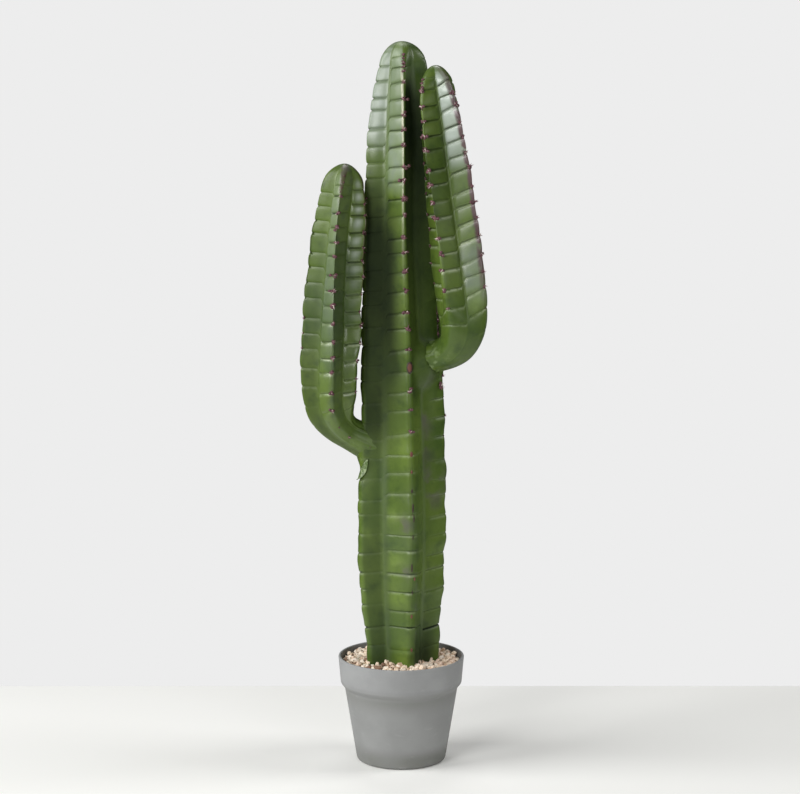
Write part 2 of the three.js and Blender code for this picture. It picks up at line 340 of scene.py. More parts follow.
class Limb:
    """A limb's line and sizes, by the length s from its foot, in millimetres."""

    scuffs = ()
    bright = ()

    def __init__(self, name, line, front, plain, fold_highlights=NOWHERE, **sizes):
        self.name = name
        steps = np.linalg.norm(np.diff(line, axis=0), axis=1)
        self.marks = np.concatenate([[0], np.cumsum(steps)])
        self.length = self.marks[-1]
        self.line = line
        self.tangents = unit(np.gradient(line, self.marks, axis=0))
        self.rights = unit(np.cross(self.tangents, front))
        self.fronts = np.cross(self.rights, self.tangents)
        self.front_angle = math.atan2(front[0], -front[1])
        for size, value in plain.items():
            setattr(self, size, value)
        self.lean = math.radians(self.lean)
        self.turns = self.length / self.pitch
        self.fold_highlights = self.by_length(fold_highlights)
        for table in RIB_TABLES + FACE_TABLES:
            lists = sizes.pop(table, {})
            setattr(self, table, {key: self.by_length(shares) for key, shares in lists.items()})
        for size, shares in sizes.items():
            setattr(self, size, self.by_length(shares))

    def by_length(self, shares):
        """A size along the limb, from stations at shares of its length."""
        return along([(share * self.length, value) for share, value in shares])

    def at(self, rows, s):
        """Places on the line, or directions along it, at lengths between its points."""
        return np.stack([np.interp(s, self.marks, rows[:, axis]) for axis in range(3)], -1)


print("tables:", *RIB_TABLES, *FACE_TABLES)

# %% [markdown]
# ## The trunk
# The trunk has a belly low down, where the cast skin is scarred and scuffed, and a slim tip whose upper
# pads carry painted sheen. Its plain numbers say how many ribs it has, how long its rounded dome is and
# how much of that, the cap, is closed by rows of its own. They also give the lean of its crests in
# degrees, and the pitch from groove to groove. `climb` is how many grooves the rows rise on their way
# round, and `slant` and `chevron` tilt and bend the grooves. `right_face` is how much relief the right
# faces keep, and the stripe's place and width are counted in halves of a crest. Scuffs and bright pads
# are patches at (rib, across, length, half width, half height).

# %% Describe the trunk
TRUNK_FOOT = 122
TRUNK_LENGTH = 778
TRUNK_DRIFT = ((0, -1.5), (180, -3.5), (310, -0.5), (580, -0.5), (TRUNK_LENGTH, 1))  # length, step aside
LINE_STEPS = 200


def trunk_line():
    drift = along(TRUNK_DRIFT)
    s = np.linspace(0, TRUNK_LENGTH, LINE_STEPS + 1)
    return np.stack([drift(s), 0 * s, TRUNK_FOOT + s], -1)


def by_share(length, stations):
    return [(place / length, size) for place, size in stations]


trunk = Limb(
    "trunk", trunk_line(), np.array((0.0, -1.0, 0.0)),
    dict(ribs=5, dome=24, cap=8, lean=6, pitch=22.5, climb=0, start=0.5, slant=0.3, chevron=0.06,
         right_face=0.35, stripe_place=-0.7, stripe_width=0.75, valley_round=0.05, valley_pale=0.3,
         scuffs=((2, -0.3, 190, 0.3, 12), (2, -0.34, 130, 0.3, 9), (3, -0.6, 232, 0.5, 26),
                 (3, -0.88, 318, 0.22, 52)),
         bright=((2, -0.65, 199, 0.3, 10), (2, -0.6, 142, 0.35, 12), (2, -0.5, 96, 0.35, 10),
                 (2, -0.35, 285, 0.35, 22), (1, 0.3, 175, 0.25, 8), (2, -0.4, 770, 0.8, 14),
                 (2, -0.35, 22, 0.35, 24))),
    girth=by_share(TRUNK_LENGTH, [(0, 47.5), (50, 50.5), (115, 56), (185, 58.5), (325, 53.5), (478, 48.5),
                                  (643, 44), (703, 38), (755, 29.5), (TRUNK_LENGTH, 26)]),
    valley=[(0, 0.7), (0.3, 0.7), (0.5, 0.68), (0.95, 0.68), (0.975, 0.74), (0.99, 0.84), (1, 0.94)],
    crest_width=[(0, 9), (0.3, 8), (0.6, 5.5), (0.95, 5), (0.98, 10), (1, 16)],
    wave=[(0, 0.5), (0.1, 1.0), (0.35, 0.9), (0.5, 0.6), (0.9, 0.4), (0.95, 0), (1, 0)],
    facing=by_share(TRUNK_LENGTH, [(0, 10), (180, 10), (320, 2), (480, 0), (TRUNK_LENGTH, -2)]),
    lag={0: [(0, 0.3), (1, 0.4)],
         1: [(0, -0.2), (0.08, -0.25), (0.3, -0.9), (0.4, -1), (1, -1)],
         2: [(0, -0.35), (0.1, -0.35), (0.15, -0.45), (0.3, -0.4), (0.4, -0.25), (0.46, -0.1), (0.52, 0),
             (1, 0)],
         3: [(0, -0.45), (0.08, -0.5), (0.3, -0.9), (0.5, -0.6), (1, -0.4)],
         4: [(0, 0.5), (1, 0.7)]},
    slope={2: [(0, -0.33), (0.16, -0.33), (0.28, 0), (1, 0)],
           3: [(0, -0.25), (0.35, -0.25), (0.5, 0), (1, 0)]},
    sway={1: [(0, 3), (0.35, 3), (0.55, 0), (1, 0)],
          2: [(0, 1), (0.15, 1), (0.32, 3), (0.46, 5), (0.6, 2), (0.7, 0), (1, 0)]},
    swell={1: [(0, 0), (0.08, 0.8), (0.14, 3.2), (0.19, 2.4), (0.28, 0.8), (0.4, 0), (0.5, 1.6), (0.68, 1.2),
               (0.76, 0), (0.92, 0), (0.97, -2.2), (1, -2.2)]},
    pillow=[(0, 0.4), (0.25, 0.5), (0.5, 0.8), (0.75, 1.0), (0.955, 0.9), (0.985, 0), (1, 0)],
    groove=[(0, 0.45), (0.045, 0.6), (0.06, 1.8), (0.075, 1.8), (0.095, 0.9), (0.16, 1.0), (0.2, 0.6),
            (0.35, 0.45), (0.5, 0.6), (0.75, 1.0), (0.96, 0.9), (0.987, 0), (1, 0)],
    dark=[(0, 0.6), (0.045, 0.7), (0.06, 1.6), (0.075, 1.6), (0.095, 1.1), (0.18, 1.1), (0.25, 0.3),
          (0.45, 0.4), (0.65, 0.8), (1, 1.0)],
    lip_highlight=[(0, 0.1), (0.08, 0.2), (0.1, 0.34), (0.3, 0.36), (0.5, 0.25), (0.75, 0.1), (1, 0.1)],
    stripe={2: [(0, 0), (0.6, 0), (0.7, 0.15), (0.82, 0.6), (0.94, 0.6), (0.97, 0), (1, 0)]},
    # painted light on each face: above 0 painted sheen, below 0 painted shade
    tone={(1, -1): [(0, 0), (0.77, 0), (0.82, 0.45), (0.95, 0.5), (1, 0)],
          (1, 1): [(0, -0.45), (0.22, -0.38), (0.29, -0.2), (0.34, -0.3), (0.37, -0.5), (0.39, -0.75),
                   (0.48, -0.8), (0.72, -0.95), (0.765, -0.6), (0.79, -0.3), (0.82, -0.1), (0.85, 0.42),
                   (0.95, 0.55), (0.985, 0.64), (1, 0.3)],
          (2, -1): [(0, -0.1), (0.28, 0), (0.4, -0.3), (0.5, -0.8), (0.68, -1), (0.76, 0), (0.8, 0.36),
                    (0.88, 0.3), (0.96, 0.32), (0.985, 0.42), (1, 0.3)],
          (2, 1): [(0, -0.7), (0.03, -0.6), (0.07, -0.2), (0.12, -0.05), (0.35, 0), (0.45, -0.05),
                   (0.55, -0.35), (0.8, -0.88), (0.93, -0.85), (0.965, -0.2), (1, 0)],
          (3, -1): [(0, -0.95), (0.03, -0.85), (0.07, -0.4), (0.12, -0.1), (0.35, -0.1), (0.45, -0.1),
                    (0.55, -0.35), (0.8, -0.85), (0.9, -0.75), (0.95, 0), (1, 0)]},
    sunny={(2, -1): [(0, 0.2), (0.1, 0.4), (0.3, 0.5), (0.45, 0.3), (0.75, 0.4), (0.85, 0.7), (1, 0.7)]},
    smooth={(1, 1): [(0, 0), (0.075, 0), (0.095, 0.5), (0.2, 0.4), (0.28, 0), (1, 0)],
            (2, 1): [(0, 0), (0.4, 0), (0.48, 0.6), (1, 0.8)],
            (3, -1): [(0, 0), (0.075, 0), (0.095, 0.5), (0.2, 0.4), (0.28, 0.1), (0.44, 0.1), (0.49, 0.9),
                      (1, 0.95)]},
    margin={(3, -1): [(0, 0.02), (0.15, 0.05), (0.25, 0.2), (0.3, 0.3), (0.5, 0.34), (1, 0.2)]},
    gloss={(1, 1): [(0, 0.05), (0.78, 0.05), (0.84, 0.6), (0.9, 0.45), (0.96, 0.3), (1, 0.1)],
           (2, -1): [(0, 0.1), (0.7, 0.15), (0.8, 0.4), (0.94, 0.4), (0.97, 0.1), (1, 0.1)],
           (3, -1): [(0, 0.05), (1, 0.05)]},
    tufts={1: [(0, 0), (0.35, 0), (0.55, 3), (0.72, 6), (0.78, 6), (0.8, 0), (1, 0)],
           2: [(0, 2.4), (0.25, 2.4), (0.34, 6), (0.46, 8), (0.6, 9), (0.92, 9), (1, 6)],
           3: [(0, 0), (0.3, 2.4), (0.42, 5), (1, 5)],
           "other": [(0, 0), (0.2, 2.4), (0.4, 5), (1, 6)]},
)
print("trunk:", round(trunk.length), "mm with", round(trunk.turns), "steps to a rib")

# %% [markdown]
# ## The arms
# An arm leaves the trunk by a smooth, narrow neck, bends up at its knee and becomes a ribbed finger. One
# curve for the whole arm would be stiff, so there are two: a Bezier curve for the elbow and one for the
# finger, which starts in the direction in which the elbow ends. The finger leans back towards the trunk.

# %% Draw an arm's line
def arm_line(azimuth, root, neck, base, waist, tip, knee_drop):
    """An elbow out of the trunk and a finger up from it, from places of (reach, height, step forward)."""
    turn = math.radians(azimuth)
    outward = np.array((math.cos(turn), math.sin(turn), 0))
    points = [outward * reach + np.array((0, -forward, height))
              for reach, height, forward in (root, neck, base, waist, tip)]
    root, neck, base, waist, tip = points
    knee = base + unit(base - waist) * knee_drop
    elbow = bezier([root, neck, knee, base], LINE_STEPS)
    finger = bezier([base, waist, tip], LINE_STEPS)
    side = np.array((-outward[1], outward[0], 0))
    return np.concatenate([elbow, finger[1:]]), side if side[1] < 0 else -side


print("an arm's line has", 2 * LINE_STEPS + 1, "points")

# %% Describe the left arm
left_arm = Limb(
    "left_arm",
    *arm_line(196, (27, 405, 0), (62, 415, 0), (92.5, 474, 0), (91, 610, 0), (69.5, 753, 0), 46),
    dict(ribs=5, dome=22, cap=9, lean=-8, pitch=19.5, climb=-1, start=0.35, slant=0.22, chevron=0.03,
         right_face=0.25, stripe_place=0.0, stripe_width=1.5, valley_round=0.025, valley_pale=0.1,
         scuffs=((2, 0.0, 378, 1.5, 12),)),
    girth=[(0, 27), (0.05, 24), (0.115, 21.5), (0.215, 30.5), (0.287, 34.5), (0.44, 35.5), (0.69, 33.5),
           (0.85, 29.7), (0.93, 26), (0.965, 23), (1, 18)],
    valley=[(0, 0.95), (0.12, 0.9), (0.2, 0.76), (0.3, 0.68), (0.95, 0.68), (0.98, 0.76), (1, 0.9)],
    crest_width=[(0, 14), (0.2, 9), (0.3, 5.5), (0.95, 5.5), (1, 14)],
    facing=[(0, 10), (1, 10)],
    sway={1: [(0, 0), (0.2, -10), (0.35, -14), (1, -12)],
          2: [(0, 0), (0.2, 3), (0.36, 6), (0.57, 2), (0.82, -5), (1, -5)],
          3: [(0, -4), (0.2, -11), (0.4, -12), (0.47, -3), (0.55, -2), (1, -4)]},
    swell={1: [(0, 0), (0.2, -1), (0.4, -1.5), (0.9, -1.5), (1, 0)],
           3: [(0, 0), (0.15, 0), (0.22, 2.5), (0.36, 3.2), (0.45, 3.5), (0.55, 2), (0.8, 2), (1, 0.5)]},
    pillow=[(0, 0), (0.16, 0.1), (0.3, 0.9), (0.6, 1.2), (0.9, 1.0), (0.96, 0), (1, 0)],
    groove=[(0, 0), (0.16, 0.1), (0.3, 0.7), (0.6, 0.9), (0.91, 0.8), (0.965, 0), (1, 0)],
    dark=[(0, 0.3), (0.3, 0.5), (0.6, 0.8), (0.8, 1), (1, 1)],
    lip_highlight=[(0, 0), (0.2, 0.2), (0.33, 0.9), (0.5, 0.8), (0.7, 0.3), (1, 0.2)],
    stripe={2: [(0, 0), (0.86, 0), (0.93, 0.7), (1, 0.7)], 3: [(0, 0), (0.5, 0), (0.65, 0.6), (1, 0.7)]},
    # painted highlights in the middle of the pads
    painted_gleam={(3, -1): [(0, 0), (0.5, 0), (0.64, 0.25), (0.7, 0.55), (0.92, 0.6), (0.97, 0.3), (1, 0)]},
    # painted light on each face: above 0 painted sheen, below 0 painted shade
    tone={(1, 1): [(0, -0.3), (0.3, -0.5), (0.5, -0.35), (0.8, -0.1), (1, -0.2)],
          (2, -1): [(0, 0), (0.3, 0.05), (0.6, 0.2), (0.8, 0.26), (0.95, 0.25), (1, 0)],
          (2, 1): [(0, 0), (0.4, 0.1), (1, 0.1)],
          (3, -1): [(0, -0.2), (0.3, -0.25), (0.5, -0.25), (0.9, -0.25), (1, -0.3)]},
    sunny={(2, -1): [(0, 0), (0.3, 0.3), (1, 0.4)]},
    wave=[(0, 0), (0.2, 0.4), (0.9, 0.5), (1, 0)],
    gloss={(1, 1): [(0, 0.1), (0.3, 0.3), (1, 0.3)], (2, -1): [(0, 0.1), (0.4, 0.3), (1, 0.3)],
           (2, 1): [(0, 0.1), (1, 0.1)], (3, -1): [(0, 0.2), (0.4, 0.55), (1, 0.6)]},
    tufts={1: [(0, 0), (0.3, 2.4), (0.4, 5), (0.52, 5), (0.56, 2.4), (1, 2.6)],
           2: [(0, 2.4), (0.2, 6), (0.5, 8.5), (1, 7)],
           3: [(0, 0), (0.2, 2.4), (0.3, 6), (1, 6)],
           "other": [(0, 0), (0.2, 2.4), (0.3, 4.5), (1, 4.5)]},
)
print(left_arm.name, round(left_arm.length), "mm with", round(left_arm.turns), "steps to a rib")

# %% Describe the right arm
right_arm = Limb(
    "right_arm",
    *arm_line(-31.5, (23, 514, 0), (58, 516, 0), (87.5, 575, 0), (73, 690, 9), (47, 873, 17), 50),
    dict(ribs=4, dome=20, cap=8, lean=0, pitch=20, climb=3, start=0.35, slant=0.42, chevron=0.2,
         right_face=0.9, stripe_place=-0.4, stripe_width=2.4, valley_round=0.015, valley_pale=0.0,
         bright=((2, -0.5, 118, 0.5, 14),)),
    girth=[(0, 23), (0.05, 20), (0.1, 20.5), (0.205, 30.5), (0.257, 33.5), (0.38, 35.5), (0.55, 34.7),
           (0.72, 33.5), (0.83, 30.5), (0.927, 24.5), (1, 16)],
    valley=[(0, 0.95), (0.2, 0.86), (0.3, 0.62), (0.93, 0.56), (0.97, 0.75), (1, 0.95)],
    crest_width=[(0, 14), (0.22, 11), (0.32, 5), (0.94, 5), (1, 14)],
    facing=[(0, 12), (0.5, 11), (0.75, 3), (1, -8)],
    pillow=[(0, 0), (0.19, 0), (0.27, 0.5), (0.34, 0.8), (0.6, 1.2), (0.93, 1.1), (0.975, 0), (1, 0)],
    groove=[(0, 0), (0.18, 0), (0.24, 0.5), (0.34, 0.6), (0.6, 0.9), (0.94, 0.8), (0.975, 0), (1, 0)],
    dark=[(0, 0.2), (0.3, 0.4), (0.5, 0.7), (0.75, 1), (1, 1)],
    lip_highlight=[(0, 0), (0.19, 0.1), (0.26, 0.8), (0.34, 0.9), (0.62, 0.8), (0.74, 0.3), (1, 0.2)],
    # painted highlights of folds on the neck, which the mesh does not have
    fold_highlights=[(0, 1), (0.08, 1), (0.12, 0.4), (0.16, 0), (1, 0)],
    wave=[(0, 0), (0.2, 0.3), (0.9, 0.5), (1, 0)],
    stripe={2: [(0, 0), (0.28, 0.1), (0.42, 1), (0.9, 1), (0.95, 0.6), (1, 0.2)]},
    # painted light on each face: above 0 painted sheen, below 0 painted shade
    tone={(1, -1): [(0, 0), (0.3, 0), (0.6, 0.1), (1, 0)],
          (1, 1): [(0, 0), (0.25, 0), (0.5, 0.06), (0.7, 0), (0.8, -0.08), (1, -0.03)],
          (2, -1): [(0, 0), (0.2, 0), (0.27, 0.05), (0.34, 0.3), (0.42, 0.36), (0.48, 0.12), (0.62, 0.08),
                    (0.68, 0.14), (0.72, 0.62), (0.95, 0.84), (1, 0.3)],
          (2, 1): [(0, 0.1), (0.3, 0.12), (0.5, 0), (1, 0)]},
    sunny={(1, -1): [(0, 0), (0.3, 0.5), (1, 0.5)],
           (1, 1): [(0, 0.2), (1, 0.2)],
           (2, -1): [(0, 0.3), (1, 0.4)]},
    gloss={(1, -1): [(0, 0.1), (1, 0.2)], (1, 1): [(0, 0.1), (1, 0.1)],
           (2, -1): [(0, 0.1), (0.3, 0.2), (0.4, 0.6), (0.5, 0.3), (0.66, 0.3), (0.74, 0.7), (1, 0.7)]},
    tufts={1: [(0, 0), (0.22, 0), (0.27, 5), (0.4, 8.5), (1, 8.5)],
           2: [(0, 0), (0.2, 0), (0.3, 5), (0.45, 8), (1, 8)],
           "other": [(0, 0), (0.2, 0), (0.3, 4), (0.4, 5), (1, 5)]},
)
print(right_arm.name, round(right_arm.length), "mm with", round(right_arm.turns), "steps to a rib")

# %% [markdown]
# ## The pads between the grooves
# Each rib of the real plant is cast as a row of pads, with a fine groove between them that ends at a tuft
# on the crest. The rows of points are laid along these grooves, so that few rows make a sharp line.
# Neighbouring ribs start their grooves at other heights, and the rows step over from one to the next
# inside the valley, where nothing shows.

# %% Follow the grooves along a rib
CREST_PART = 0.12  # half the crest, as a part of half a rib
VALLEY_BLEND = 0.9  # from here to the valley, rows pass over to the next rib's grooves
TIP_CROWDING = 1.15  # above 1, grooves lie closer towards the tip
UNEVEN = ((0.09, 1.7, 2.1), (0.06, 2.9, 4.4))  # amount in steps, radians for each step, shift for each rib


def own_rib(limb, table, rib, place):
    """What a table holds for each point's own rib, and 0 for a rib that isn't in it."""
    number = np.mod(rib, limb.ribs)
    return sum((number == key) * size_at(place) for key, size_at in table.items())


def side_of(across):
    """The face that a place across a rib lies on, -1 for the left one and 1 for the right one."""
    return np.where(across < 0, -1, 1)


def groove_length(limb, rib, across, turn):
    """How far up the limb a rib's groove of this number lies, at a place across the rib from -1 to 1."""
    spot = turn + limb.start + rib * limb.climb / limb.ribs
    spot = spot + own_rib(limb, limb.lag, rib, spot * limb.pitch)
    slant = limb.slant + own_rib(limb, limb.slope, rib, spot * limb.pitch)
    spot = spot + slant * across / 2 - limb.chevron * np.abs(across)
    wobble = sum(amount * np.sin(rate * spot + shift * np.mod(rib, limb.ribs))
                 for amount, rate, shift in UNEVEN)
    share = np.clip((spot + wobble) / limb.turns, 0, 1)
    return limb.length * (1 - (1 - share) ** TIP_CROWDING)


def row_length(limb, rib, across, turn):
    """The same, with a soft passage to the next rib inside the valley."""
    own = groove_length(limb, rib, across, turn)
    side = side_of(across)
    beside = groove_length(limb, rib + side, across - 2 * side, turn)
    passage = ease(np.abs(across), VALLEY_BLEND, 1) / 2
    return own * (1 - passage) + beside * passage


print("grooves of the trunk's front rib at", np.round(groove_length(trunk, 2, 0.0, np.arange(3, 6)), 1))

# %% [markdown]
# ## Reading the tables
# Neighbours have to meet without a seam. Two ribs share their sizes half and half in the valley between
# them, and two faces pass their colours over close to it. A hard change would be simpler, but gloss shows
# it as a line. Small marks, such as a scuff or a bright pad, are soft patches at one place of a rib.

# %% Read tables and patches
FACE_BLEND = 0.7  # from here to the valley, a face's colours pass over to the next face's


def of_rib(limb, table, rib, across, s):
    """What a table holds for a rib, shared half and half with its neighbour's in the valley."""
    passage = np.abs(across) / 2
    beside = own_rib(limb, table, rib + side_of(across), s)
    return own_rib(limb, table, rib, s) * (1 - passage) + beside * passage


def own_face(limb, table, rib, side, s):
    """What a table holds for a rib's left (-1) or right (1) face, and 0 for a face that isn't in it."""
    number = np.mod(rib, limb.ribs)
    return 0 * s + sum((number == key) * (side == face) * size_at(s)
                       for (key, face), size_at in table.items())


def of_face(limb, table, rib, across, s):
    """The same at a place across the rib, with a soft passage to the next rib's face beside the valley."""
    side = side_of(across)
    passage = ease(np.abs(across), FACE_BLEND, 1) / 2
    beside = own_face(limb, table, rib + side, -side, s)
    return own_face(limb, table, rib, side, s) * (1 - passage) + beside * passage


def patched(limb, patches, rib, across, s):
    """How strong soft patches of (rib, across, s, half width, half height) are at each point."""
    number = np.mod(rib, limb.ribs)
    return 0 * s + sum((number == key) * np.exp(-((across - a) / width) ** 2 - ((s - b) / height) ** 2)
                       for key, a, b, width, height in patches)


halfway = trunk.length / 2
front_painted_light = own_face(trunk, trunk.tone, 2, -1, halfway)
print("tone of the front rib's left face, halfway up:", round(float(front_painted_light), 2))

# %% [markdown]
# ## The star section
# Cut across, a limb is a star with as many points as ribs. A face runs from a valley to the edge of a
# crest and bows out a little, and the crest is a narrow, domed strip that may lean to one side. A star
# could be drawn as a curve and swept along the line, but then no rib could sway or swell by itself. So
# the section is worked out for one rib, as shares of the crest's radius, and is turned to that rib's
# place later.

# %% Draw the star section
FACE_SWELL = 0.035  # how far a face bows out, as a share of the radius
CREST_DROP = 0.22  # how far a crest's edges fall below its middle, for each part of its half width


def polar(angle, reach):
    return np.stack([np.cos(angle) * reach, np.sin(angle) * reach], -1)


def hump(part):
    """0 at both ends of the way from 0 to 1, and 1 in its middle."""
    return 4 * part * (1 - part)


def section(limb, across, s):
    """The star at a place across a rib, its outward direction, and t from valley (0) to crest (1)."""
    half = math.pi / limb.ribs
    side = side_of(across)
    crest_half = limb.crest_width(s) / 2 / limb.girth(s)
    valley = polar(side * half, limb.valley(s))
    edge = polar(limb.lean + side * crest_half, 1 - CREST_DROP * crest_half)
    t = np.clip((1 - np.abs(across)) / (1 - CREST_PART), 0, 1)
    face = valley + (edge - valley) * t[:, None]
    face = face * (1 + FACE_SWELL * hump(t))[:, None]
    u = across / CREST_PART
    on_crest = polar(limb.lean + crest_half * u, 1 - CREST_DROP * crest_half * u * u)
    is_crest = np.abs(across) < CREST_PART
    run = unit(edge - valley) * side[:, None]
    outward = np.stack([-run[:, 1], run[:, 0]], -1)
    turned = np.clip(np.abs(u), 0, 1)[:, None]
    outward = unit(unit(on_crest) * (1 - turned) + outward * turned)
    return np.where(is_crest[:, None], on_crest, face), outward, t


crest, _, _ = section(trunk, np.zeros(1), np.array([halfway]))
print("a crest of the trunk, as shares of its radius:", np.round(crest[0], 2))

# %% [markdown]
# ## The pads' relief
# A pad rises sharply from the groove below it and rolls over softly into the groove above, so that its
# upper lip catches light from overhead. The crest is notched where a tuft sits and swells between, which
# makes the scalloped outline. No two pads of the casting are alike, so chance gives each pad its height
# and each groove its sharpness. A bump texture could draw the pads, but their outline would stay smooth:
# here points move.

# %% Raise the pads
PAD_FOOT = 1.2  # how far above a groove a pad has risen
PAD_LIP = 2.3  # how far below the next groove it starts to roll over
PAD_BELLY = 0.55  # how much fuller it is in its middle
BELLY_SHARES = (0.4, 0.6)  # a belly at the edges of a face, and what the middle of the face adds
PAD_HEIGHTS = (0.7, 0.6)  # the lowest pad, and what chance adds
CREST_BULGE = 0.2
CREST_CHANCE = 0.5  # crests belong to two faces, so chance is the same for all
CREST_FADE = 0.3  # place across a rib where a crest has passed over into a face
GROOVE_HALF_WIDTH = 0.95
GROOVE_SHARPNESS = (0.4, 0.6, 0.5)  # the faintest groove, what chance adds, what a crest adds
FACE_FOOT = (0.04, 0.14)  # as parts of a face from the valley, where pads start and where they stand
MARGIN_SPREAD = 1.3  # a margin moves the second of these places by so much more
HASH_WEIGHTS = (12.9898, 78.233, 37.719)  # odd numbers that scatter the sine's digits
HASH_SCALE = 43758.5453


def hashed(*numbers):
    """A steady unevenness between 0 and 1 for each set of whole numbers."""
    mixed = sum(number * weight for number, weight in zip(numbers, HASH_WEIGHTS))
    return np.mod(np.sin(mixed) * HASH_SCALE, 1)


def kept_relief(limb, rib, across, s, in_dome):
    """How much of its relief a point keeps: less on right and on smooth faces, none in the dome."""
    on_right = ease(across, -CREST_PART, CREST_FADE)
    kept = np.where(in_dome, 0, 1) * (1 - (1 - limb.right_face) * on_right)
    return kept * (1 - of_face(limb, limb.smooth, rib, across, s) * ease(np.abs(across), 0, CREST_FADE))


class Pads:
    """Where points lie on their pads, and how far the relief lifts them, in millimetres."""

    def __init__(self, limb, rib, across, t, s, turn, in_dome):
        self.part = np.mod(turn, 1)
        above = limb.pitch * self.part
        self.below = limb.pitch * (1 - self.part)
        self.near = np.minimum(above, self.below)
        self.notch = np.exp(-(self.near / GROOVE_HALF_WIDTH) ** 2)
        self.depth = np.maximum(limb.groove(s), 0)
        self.kept = kept_relief(limb, rib, across, s, in_dome)
        margin = own_face(limb, limb.margin, rib, side_of(across), s)
        self.on_face = ease(t, FACE_FOOT[0] + margin, FACE_FOOT[1] + MARGIN_SPREAD * margin)
        on_crest = 1 - ease(np.abs(across), CREST_PART, CREST_FADE)
        number = np.mod(rib, limb.ribs)
        pad_chance = hashed(np.floor(turn), number, across < 0)
        groove_chance = hashed(np.rint(turn), number, across < 0)
        self.chance = pad_chance * (1 - on_crest) + CREST_CHANCE * on_crest
        faintest, by_chance, by_crest = GROOVE_SHARPNESS
        self.sharp = faintest + by_chance * groove_chance * (1 - on_crest) + by_crest * on_crest

        at_edges, by_middle = BELLY_SHARES
        belly = hump(self.part) * (at_edges + by_middle * hump(t))
        body = (1 - np.exp(-above / PAD_FOOT)) * (1 - np.exp(-(self.below / PAD_LIP) ** 2))
        lowest, by_chance = PAD_HEIGHTS
        pads = (lowest + by_chance * self.chance) * (body + PAD_BELLY * belly)
        pads = pads + CREST_BULGE * on_crest * belly
        lifted = np.maximum(limb.pillow(s), 0) * pads - self.depth * self.sharp * self.notch
        self.relief = lifted * self.on_face * self.kept


print("chance of three pads:", [round(float(hashed(pad, 2, 1)), 2) for pad in range(3)])

# %% [markdown]
# ## Where the arms leave the trunk
# Each arm of the real plant grows out of a swelling of the trunk. A boolean union would join the meshes,
# but it would cut through the rows of pads. So the trunk's points near a root are drawn out along the
# arm, up to a soft cone round it, and trunk and arm stay two meshes that overlap.

# %% Swell the trunk at the roots
ROOTS = (  # arm, length where it leaves the trunk, its radius there, degrees over which the swelling fades
    (left_arm, 29.0, 20.0, (14, 34)),
    (right_arm, 29.5, 19.0, (80, 100)),
)
ROOT_DEPTH = 5.0  # how far the cone stays behind the root
ROOT_SLOPE = 1.0  # how steeply it falls off beside the arm
ROOT_SOFTNESS = 3.0
ROOT_REACH = (10.0, 28.0)  # from the arm's side, where the swelling starts to fade and where it ends
ROOT_BACK = (-60, -35)  # along the arm, where the swelling starts and where it is full


def swollen_at_roots(points):
    """The trunk's points, in millimetres, drawn out where an arm leaves it."""
    for arm, s, radius, fading in ROOTS:
        outward = arm.at(arm.tangents, s)
        away = points - arm.at(arm.line, s)
        ahead = away @ outward
        off = np.linalg.norm(away - ahead[:, None] * outward, axis=1)
        beside = np.maximum(off - radius, 0)
        lacking = -ROOT_DEPTH - ROOT_SLOPE * beside - ahead
        rise = ROOT_SOFTNESS * np.logaddexp(0, lacking / ROOT_SOFTNESS)
        rise = rise * ease(ahead, *ROOT_BACK) * (1 - ease(beside, *ROOT_REACH))
        aside = np.degrees(np.arccos(unit(points[:, :2]) @ unit(outward[:2])))
        rise = rise * (1 - ease(aside, *fading))
        points = points + outward * rise[:, None]
    return points


print("roots swell for", [arm.name for arm, *_ in ROOTS])

# %% [markdown]
# ## Standing the skin round its line
# The section is scaled to the limb's girth, turned to its rib's direction and stood square to the limb's
# line. A Curve modifier could bend a straight limb, but it gives no say in which side stays in front. A
# slow wave in each rib keeps the limb from looking turned on a lathe.

# %% Stand a section round its line
WAVES = ((74, 1.9, 1.0), (31, 4.3, 0.6))  # length, shift for each rib and amount of a rib's uneven growth


def crest_radius(limb, rib, across, s):
    """The girth at a point, with the waves and the swelling of its rib."""
    number = np.mod(rib, limb.ribs)
    uneven = sum(amount * np.sin(math.tau * s / length + shift * number) for length, shift, amount in WAVES)
    uneven = uneven * limb.wave(s) * (1 - np.abs(across))
    return limb.girth(s) + uneven + of_rib(limb, limb.swell, rib, across, s)


def stood_up(limb, rib, across, s, flat):
    """Points of the flat section, turned to their ribs' directions and set round the limb's line."""
    step = math.tau / limb.ribs
    facing = limb.facing(s) + of_rib(limb, limb.sway, rib, across, s)
    facing = np.radians(facing) - limb.front_angle + (rib - (limb.ribs - 1) / 2) * step
    out = flat[:, 0] * np.cos(facing) - flat[:, 1] * np.sin(facing)
    over = flat[:, 0] * np.sin(facing) + flat[:, 1] * np.cos(facing)
    points = limb.at(limb.line, s)
    return points + limb.at(limb.fronts, s) * out[:, None] + limb.at(limb.rights, s) * over[:, None]


print("ribs wave over", [length for length, _, _ in WAVES], "mm")

# %% [markdown]
# ## Masks for the finish
# The finish carries painted shade in a groove and a painted highlight on a lip, another colour on a
# crest, and painted sheen and painted shade across whole faces. It could look for such places by their
# curvature, but that depends on the mesh. The numbers that shape the skin know them, so they are kept as
# masks on the points, and node trees read them by name.

# %% Keep the masks
VALLEY_SPREAD = 0.1  # how far a valley's rounding and its painted highlight reach up a face
FULL_GROOVE = 0.7  # a groove of this depth is at its darkest
LIP_DROP = 1.8  # how far below a groove the painted highlight on its lip lies
LIP_HALF_WIDTH = 1.3
PAD_TINT = 0.7
SHEEN_FOOT = (0.02, 0.2)  # as parts of a face from the valley, where painted sheen starts and where it is full
SHEEN_SHARES = (0.55, 0.45)  # painted sheen at a groove, and what the middle of a pad adds
SHEEN_RIM = 5.0  # nearer to a groove than this, a pad has less painted sheen
GLEAM_SPREAD = (0.24, 0.3)  # half a painted highlight's width and height, as parts of a face and of a pad
SHADE_FADE = (0.8, 0.25)  # places across a left and a right face where painted shade is full
